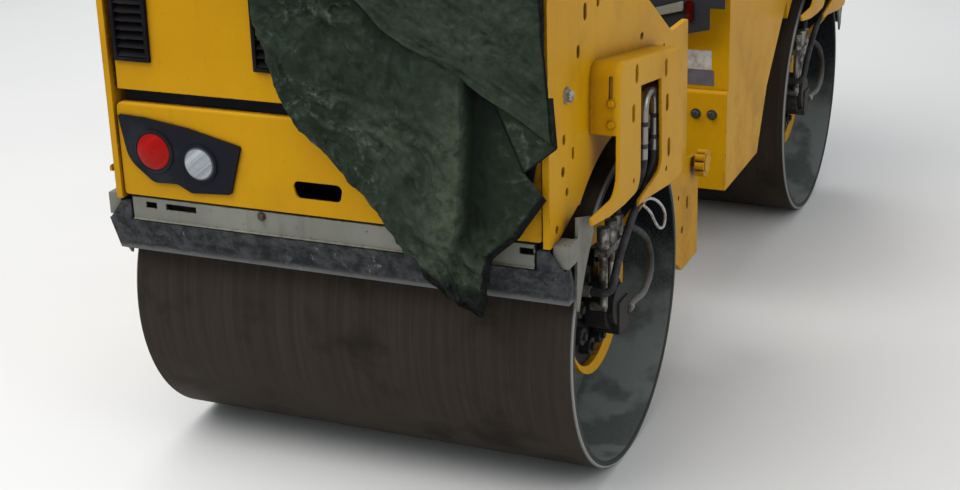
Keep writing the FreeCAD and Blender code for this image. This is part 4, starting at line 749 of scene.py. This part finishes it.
def polyCurve(name, points, cyclic, bevel=0.0):
    curve = bpy.data.curves.new(name, "CURVE")
    curve.dimensions = "3D"
    curve.bevel_depth = bevel
    curve.bevel_resolution = 3
    line = curve.splines.new("POLY")
    line.points.add(len(points) - 1)
    for spot, place in zip(line.points, points):
        spot.co = (*place, 1.0)
    line.use_cyclic_u = cyclic
    item = bpy.data.objects.new(name, curve)
    bpy.context.scene.collection.objects.link(item)
    return item


def seams(name, mesh, middle, axes, look):
    side, along, out = axes
    reach = [max(abs((vert.co - middle).dot(axis)) for vert in mesh.vertices) for axis in axes]
    top = max((vert.co - middle).dot(out) for vert in mesh.vertices)
    tree = BVHTree.FromPolygons([vert.co for vert in mesh.vertices], [face.vertices[:] for face in mesh.polygons])
    loop = []
    for step in range(160):
        angle = 2 * math.pi * step / 160
        c, s = math.cos(angle), math.sin(angle)
        u = math.copysign(abs(c) ** 0.28, c) * reach[0] * 1.1
        v = math.copysign(abs(s) ** 0.28, s) * reach[1] * 1.1
        place = middle + side * u + along * v + out * (top - look["drop"])
        hit, normal, index, distance = tree.ray_cast(place, -(side * u + along * v).normalized())
        if hit is not None:
            loop.append(hit)
    welt = polyCurve(name + "Welt", loop, True, look["welt"])
    tube = evaluated(welt)
    shadeSmooth(tube)
    newPiece(name + "Piping", tube, "front_frame", "seat_vinyl", finishes["seat_vinyl"])
    bpy.data.objects.remove(welt)
    stitches = []
    lines = [[(place, v / 40.0 * reach[1] * 0.86) for v in range(-40, 41)] for place in look["channels"]]
    lines += [[(u / 30.0 * 0.115, place) for u in range(-30, 31)] for place in look["cross"]]
    for line in lines:
        for shift in (-0.0085, 0.0085):
            points = []
            fixedU = line[0][0] == line[1][0]
            for u, v in line:
                u, v = (u + shift, v) if fixedU else (u, v + shift)
                start = middle + side * u + along * v + out * (reach[2] + 0.05)
                hit = tree.ray_cast(start, -out)[0]
                if hit is not None:
                    points.append(hit)
            seam = polyCurve(name + "Seam", points, False)
            stitches.append(bakeTree(seam, stitching, {
                "Spacing": stitchLook["spacing"], "Length": stitchLook["length"],
                "Thickness": stitchLook["thickness"], "Thread": finishes["seat_vinyl"]}))
            bpy.data.objects.remove(seam)
    joined = bmesh.new()
    for mesh in stitches:
        joined.from_mesh(mesh)
    thread = bpy.data.meshes.new(name + "Thread")
    joined.to_mesh(thread)
    joined.free()
    newPiece(name + "Thread", thread, "front_frame", "seat_vinyl", finishes["seat_vinyl"])


stitching = stitchTree()
for name, look in cushionLooks.items():
    makeCushion(name, look)


# Bolts: hex heads on washers, seated on the surface that a ray finds under each

boltLook = {"headHeight": 0.48, "washer": 1.45, "washerHeight": 0.12, "chamfer": 0.84}


def boltTree():
    tree = bpy.data.node_groups.new("hexBolts", "GeometryNodeTree")
    face = tree.interface
    face.new_socket("Places", in_out="INPUT", socket_type="NodeSocketGeometry")
    for name in ("Head height", "Washer", "Washer height", "Chamfer"):
        face.new_socket(name, in_out="INPUT", socket_type="NodeSocketFloat")
    face.new_socket("Metal", in_out="INPUT", socket_type="NodeSocketMaterial")
    face.new_socket("Bolts", in_out="OUTPUT", socket_type="NodeSocketGeometry")
    given = tree.nodes.new("NodeGroupInput").outputs

    def lifted(mesh, height):
        up = addNode(tree, "ShaderNodeCombineXYZ", {2: height}).outputs[0]
        return addNode(tree, "GeometryNodeTransform", {"Geometry": mesh, "Translation": up}).outputs[0]

    def half(value):
        return maths(tree, "MULTIPLY", value, 0.5)

    washer = addNode(tree, "GeometryNodeMeshCylinder", {"Vertices": 24, "Radius": half(given["Washer"]),
                                                        "Depth": given["Washer height"]}).outputs["Mesh"]
    flank = maths(tree, "MULTIPLY", given["Head height"], 0.8)
    head = addNode(tree, "GeometryNodeMeshCylinder", {"Vertices": 6, "Radius": 0.577, "Depth": flank}).outputs["Mesh"]
    crown = addNode(tree, "GeometryNodeMeshCone", {
        "Vertices": 6, "Radius Bottom": 0.577, "Radius Top": maths(tree, "MULTIPLY", given["Chamfer"], 0.577),
        "Depth": maths(tree, "MULTIPLY", given["Head height"], 0.2)}).outputs["Mesh"]
    join = tree.nodes.new("GeometryNodeJoinGeometry")
    top = maths(tree, "ADD", given["Washer height"], flank)
    for mesh, height in ((washer, half(given["Washer height"])),
                         (head, maths(tree, "ADD", given["Washer height"], half(flank))), (crown, top)):
        tree.links.new(lifted(mesh, height), join.inputs[0])
    facing = addNode(tree, "GeometryNodeInputNamedAttribute", {"Name": "facing"}, data_type="FLOAT_VECTOR").outputs[0]
    size = addNode(tree, "GeometryNodeInputNamedAttribute", {"Name": "size"}, data_type="FLOAT").outputs[0]
    spin = addNode(tree, "GeometryNodeInputNamedAttribute", {"Name": "spin"}, data_type="FLOAT").outputs[0]
    turn = addNode(tree, "FunctionNodeAlignRotationToVector", {"Vector": facing}, axis="Z").outputs[0]
    euler = addNode(tree, "ShaderNodeCombineXYZ", {2: spin}).outputs[0]
    turn = addNode(tree, "FunctionNodeRotateRotation", {"Rotation": turn, "Rotate By": euler},
                   rotation_space="LOCAL").outputs[0]
    points = addNode(tree, "GeometryNodeMeshToPoints", {"Mesh": given["Places"]}).outputs[0]
    placed = addNode(tree, "GeometryNodeInstanceOnPoints", {"Points": points, "Instance": join.outputs[0],
                                                            "Rotation": turn, "Scale": size})
    real = addNode(tree, "GeometryNodeRealizeInstances", {0: placed.outputs[0]}).outputs[0]
    done = addNode(tree, "GeometryNodeSetMaterial", {"Geometry": real, "Material": given["Metal"]}).outputs[0]
    addNode(tree, "NodeGroupOutput", {"Bolts": done})
    return tree


surfaces = {}


def seat(node, start, aim):  # the first point of a node's surface along a ray, and the way it faces
    if node not in surfaces:
        mesh = nodes[node].data
        surfaces[node] = BVHTree.FromPolygons([vert.co for vert in mesh.vertices],
                                              [face.vertices[:] for face in mesh.polygons])
    return surfaces[node].ray_cast(Vector(start), Vector(aim).normalized())[:2]


def putBolts(name, body, slotName, metal, rows):
    places, facings, sizes, spins = [], [], [], []
    for node, start, aim, size in rows:
        place, normal = seat(node, start, aim)
        if place is None or normal.dot(Vector(aim)) > -0.9:
            print("no flat seat for a bolt:", name, node, [round(value, 3) for value in start])
            continue
        places.append(place - normal * 0.0002)
        facings.append(normal)
        sizes.append(size)
        spins.append(noise.random())
    cloud = bpy.data.meshes.new(name)
    cloud.from_pydata(places, [], [])
    cloud.attributes.new("facing", "FLOAT_VECTOR", "POINT").data.foreach_set("vector", [v for n in facings for v in n])
    cloud.attributes.new("size", "FLOAT", "POINT").data.foreach_set("value", sizes)
    cloud.attributes.new("spin", "FLOAT", "POINT").data.foreach_set("value", spins)
    item = bpy.data.objects.new(name, cloud)
    bpy.context.scene.collection.objects.link(item)
    mesh = bakeTree(item, bolting, {"Head height": boltLook["headHeight"], "Washer": boltLook["washer"],
                                    "Washer height": boltLook["washerHeight"], "Chamfer": boltLook["chamfer"],
                                    "Metal": metal})
    bpy.data.objects.remove(item)
    newPiece(name, mesh, body, slotName, metal)
    print(name, "seated:", len(places))


noise.seed_set(7)
bolting = boltTree()
left, right, back, ahead, down = (1, 0, 0), (-1, 0, 0), (0, 1, 0), (0, -1, 0), (0, 0, -1)
painted, silver, rusty = {}, {}, {}
for module, sign in (("rear", -1), ("front", 1)):
    inward = (0, -sign, 0)
    painted[module] = [(module + "_hose_guards", (x, sign * 1.35, z), inward, 0.013)
                       for x in (-0.525, 0.525) for z in (0.802, 0.844)]
    silver[module] = [(module + "_side_plates", (x, sign * 1.182, 0.891), right if x > 0 else left, 0.022)
                      for x in (-0.56, 0.56)]
    rusty[module] = [(module + "_scraper_bar", (x, sign * 1.35, 0.613), inward, 0.013) for x in (-0.459, -0.14, 0.459)]
silver["front"] += [("roll_bar", (x, 0.016, 1.0), down, 0.019) for x in (-0.434, -0.366, 0.366, 0.434)]
for module in ("rear", "front"):
    body = module + "_frame"
    putBolts(module + "PaintedBolts", body, "yellow_paint", finishes["yellow_paint"], painted[module])
    putBolts(module + "ZincBolts", body, "bolt_steel", zincSteel, silver[module])
    putBolts(module + "RustyBolts", body, "bolt_steel", rustySteel, rusty[module])
putBolts("boxBolts", "front_frame", "bolt_steel", darkSteel,
         [("side_boxes", (x, -0.2, 0.528), back, 0.018) for x in (-0.442, -0.400, 0.400, 0.442)])
putBolts("hingeBolts", "engine_hood", "bolt_steel", darkSteel,
         [("engine_hood", (x, -0.806, 1.4), down, 0.011) for x in (-0.385, -0.355, 0.355, 0.385)])


# Tread on the platform: raised bars, turned by turns, left out under what stands there

treadLook = {"pitch": 0.030, "length": 0.021, "width": 0.0048, "height": 0.0014, "margin": 0.013}


def treadTree():
    tree = bpy.data.node_groups.new("platformTread", "GeometryNodeTree")
    face = tree.interface
    face.new_socket("Places", in_out="INPUT", socket_type="NodeSocketGeometry")
    for name in ("Length", "Width", "Height"):
        face.new_socket(name, in_out="INPUT", socket_type="NodeSocketFloat")
    face.new_socket("Paint", in_out="INPUT", socket_type="NodeSocketMaterial")
    face.new_socket("Tread", in_out="OUTPUT", socket_type="NodeSocketGeometry")
    given = tree.nodes.new("NodeGroupInput").outputs
    bar = addNode(tree, "GeometryNodeMeshCone", {"Vertices": 12, "Radius Bottom": 0.5, "Radius Top": 0.34,
                                                 "Depth": 1.0}).outputs["Mesh"]
    size = addNode(tree, "ShaderNodeCombineXYZ", {0: given["Length"], 1: given["Width"], 2: given["Height"]})
    turn = addNode(tree, "GeometryNodeInputNamedAttribute", {"Name": "turn"}, data_type="FLOAT").outputs[0]
    euler = addNode(tree, "ShaderNodeCombineXYZ", {2: turn}).outputs[0]
    points = addNode(tree, "GeometryNodeMeshToPoints", {"Mesh": given["Places"]}).outputs[0]
    placed = addNode(tree, "GeometryNodeInstanceOnPoints", {"Points": points, "Instance": bar, "Rotation": euler,
                                                            "Scale": size.outputs[0]})
    real = addNode(tree, "GeometryNodeRealizeInstances", {0: placed.outputs[0]}).outputs[0]
    done = addNode(tree, "GeometryNodeSetMaterial", {"Geometry": real, "Material": given["Paint"]}).outputs[0]
    addNode(tree, "NodeGroupOutput", {"Tread": done})
    return tree


def makeTread():
    look = treadLook
    low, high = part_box("operator_floor")
    stands = ("seat_base", "console", "roll_bar", "hand_rails")
    places, turns = [], []
    for row in range(int((high.y - low.y) / look["pitch"])):
        for column in range(int((high.x - low.x) / look["pitch"])):
            x = low.x + look["pitch"] * (column + 0.9)
            y = low.y + look["pitch"] * (row + 0.8)
            corners = [(x + a, y + b) for a in (-look["margin"], look["margin"])
                       for b in (-look["margin"], look["margin"])]
            flat = all((hit := seat("operator_floor", (*spot, 1.2), down)[0]) is not None and hit.z > high.z - 0.001
                       for spot in corners)
            if flat and not any(seat(node, (*spot, high.z - 0.004), (0, 0, 1))[0] is not None
                                and seat(node, (*spot, high.z - 0.004), (0, 0, 1))[0].z < high.z + 0.01
                                for node in stands for spot in corners):
                places.append((x, y, high.z + look["height"] / 2 - 0.0001))
                turns.append(math.radians(45 if (row + column) % 2 else -45))
    cloud = bpy.data.meshes.new("platformTread")
    cloud.from_pydata(places, [], [])
    cloud.attributes.new("turn", "FLOAT", "POINT").data.foreach_set("value", turns)
    item = bpy.data.objects.new("platformTread", cloud)
    bpy.context.scene.collection.objects.link(item)
    mesh = bakeTree(item, treadTree(), {"Length": look["length"], "Width": look["width"], "Height": look["height"],
                                        "Paint": finishes["dark_paint"]})
    bpy.data.objects.remove(item)
    newPiece("platformTread", mesh, "front_frame", "dark_paint", finishes["dark_paint"])
    print("tread laid:", len(places), "bars")


makeTread()


# Blank plates on the side box, with softly rounded corners

plateLook = {"pale": (0.373, 0.435, 0.641, 0.690), "violet": (0.374, 0.442, 0.600, 0.639), "thickness": 0.0012}


def plateMaterial(name, shade, dirt):
    material, tree, shader, place = newMaterial(name)
    smears = noiseAt(tree, place, 40.0, 5.0, 0.7)
    mixed = mixColour(tree, ramp(tree, smears, 0.40, 0.72), shade, dirt)
    feed(tree, shader, Base_Color=mixed, Roughness=ramp(tree, smears, 0.3, 0.7, 0.35, 0.6))
    feed(tree, shader, Normal=bump(tree, smears, 0.15, 0.0005))
    return material


def makePlates():
    for name, shade, dirt in (("pale", colour(0.50, 0.49, 0.45), colour(0.24, 0.21, 0.16)),
                              ("violet", colour(0.115, 0.105, 0.135), colour(0.08, 0.07, 0.07))):
        x0, x1, z0, z1 = plateLook[name]
        place = seat("side_boxes", ((x0 + x1) / 2, -0.2, (z0 + z1) / 2), back)[0]
        mesh = bmesh.new()
        bmesh.ops.create_cube(mesh, size=1.0)
        for vert in mesh.verts:
            vert.co = Vector(((x0 + x1) / 2 + vert.co.x * (x1 - x0), place.y - plateLook["thickness"] / 2
                              + vert.co.y * plateLook["thickness"], (z0 + z1) / 2 + vert.co.z * (z1 - z0)))
        corners = [edge for edge in mesh.edges if abs(edge.verts[0].co.y - edge.verts[1].co.y) > 0.001]
        bmesh.ops.bevel(mesh, geom=corners, offset=0.0015, segments=3, affect="EDGES")
        plain = bpy.data.meshes.new(name + "Plate")
        mesh.to_mesh(plain)
        mesh.free()
        newPiece(name + "Plate", plain, "front_frame", "grey_paint", plateMaterial(name + "Enamel", shade, dirt))
    print("plates set on the side box")


makePlates()


# Pale cable that hangs in a loop between the guard and the drum

cableLook = {"x": 0.506, "diameter": 0.0065, "length": 0.44, "route": (
    (-0.800, 0.560), (-0.765, 0.556), (-0.722, 0.540), (-0.668, 0.510), (-0.622, 0.472), (-0.628, 0.442),
    (-0.668, 0.452), (-0.712, 0.486), (-0.752, 0.524), (-0.812, 0.558))}  # both ends meet the hose


def makeCable():
    look = cableLook
    curve = bpy.data.curves.new("looseCable", "CURVE")
    curve.dimensions = "3D"
    curve.bevel_depth = look["diameter"] / 2
    curve.bevel_resolution = 4
    curve.resolution_u = 12
    line = curve.splines.new("NURBS")
    line.points.add(len(look["route"]) - 1)
    for index, (spot, (y, z)) in enumerate(zip(line.points, look["route"])):
        spot.co = (look["x"] + 0.0035 * math.sin(index * 0.9), y, z, 1.0)
    line.order_u = 3
    line.use_endpoint_u = True
    cable = bpy.data.objects.new("looseCable", curve)
    bpy.context.scene.collection.objects.link(cable)
    material, tree, shader, place = newMaterial("cableSheath")
    grime = noiseAt(tree, place, 60.0, 4.0, 0.65)
    feed(tree, shader, Base_Color=mixColour(tree, ramp(tree, grime, 0.42, 0.68), colour(0.42, 0.42, 0.40),
                                            colour(0.16, 0.15, 0.13)))
    feed(tree, shader, Roughness=ramp(tree, grime, 0.3, 0.7, 0.4, 0.65), Normal=bump(tree, grime, 0.2, 0.0006))
    curve.materials.append(material)
    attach(cable, "rear_frame")
    print("cable hung")


makeCable()


# Floor, light and camera

stageLook = {"floorSize": 60.0, "floor": colour(0.66, 0.65, 0.63), "sky": colour(0.80, 0.84, 0.90), "skyStrength": 0.70}
cameraLook = {"eye": (1.5439, -4.0437, 1.7457), "yaw": -23.549, "pitch": 20.598, "roll": -1.732, "lens": 63.75}
# Each lamp: place, aim, size in metres, watts
lamps = {
    "softTop": ((-1.5, -2.5, 5.0), (0.0, -0.4, 0.6), 5.0, 310.0),
    "softRight": ((4.5, -2.0, 3.0), (0.0, -0.2, 0.6), 3.0, 60.0),
    "softFront": ((-2.5, 4.5, 3.5), (0.0, 0.4, 0.8), 3.0, 90.0),
}


def makeStage():
    bpy.ops.mesh.primitive_plane_add(size=stageLook["floorSize"])
    floor = bpy.context.object
    floor.name = "floor"
    material, tree, shader, place = newMaterial("paleFloor")
    shade = mixColour(tree, noiseAt(tree, place, 1.5), stageLook["floor"], colour(0.62, 0.61, 0.59))
    feed(tree, shader, Base_Color=shade, Roughness=0.85)
    floor.data.materials.append(material)
    world = bpy.data.worlds.new("softSky")
    world.use_nodes = True
    background = world.node_tree.nodes["Background"]
    background.inputs[0].default_value = stageLook["sky"]
    background.inputs[1].default_value = stageLook["skyStrength"]
    bpy.context.scene.world = world
    for name, (place, aim, size, watts) in lamps.items():
        light = bpy.data.lights.new(name, "AREA")
        light.energy = watts
        light.size = size
        lamp = bpy.data.objects.new(name, light)
        bpy.context.scene.collection.objects.link(lamp)
        lamp.location = place
        lamp.rotation_euler = (Vector(aim) - Vector(place)).to_track_quat("-Z", "Y").to_euler()


def makeCamera():
    yaw, pitch, roll = (math.radians(cameraLook[key]) for key in ("yaw", "pitch", "roll"))
    ahead = Vector((math.sin(yaw) * math.cos(pitch), math.cos(yaw) * math.cos(pitch), -math.sin(pitch)))
    level = Vector((math.cos(yaw), -math.sin(yaw), 0.0))
    upright = level.cross(ahead)
    right = math.cos(roll) * level + math.sin(roll) * upright
    upward = math.cos(roll) * upright - math.sin(roll) * level
    camera = bpy.data.objects.new("photoCamera", bpy.data.cameras.new("photoCamera"))
    camera.data.lens = cameraLook["lens"]
    camera.data.clip_start = 0.05
    turned = Matrix((right, upward, -ahead)).transposed().to_4x4()
    camera.matrix_world = Matrix.Translation(cameraLook["eye"]) @ turned
    bpy.context.scene.collection.objects.link(camera)
    bpy.context.scene.camera = camera


makeStage()
makeCamera()
bpy.context.scene.view_settings.view_transform = "Standard"
print("stage, lamps and camera set")
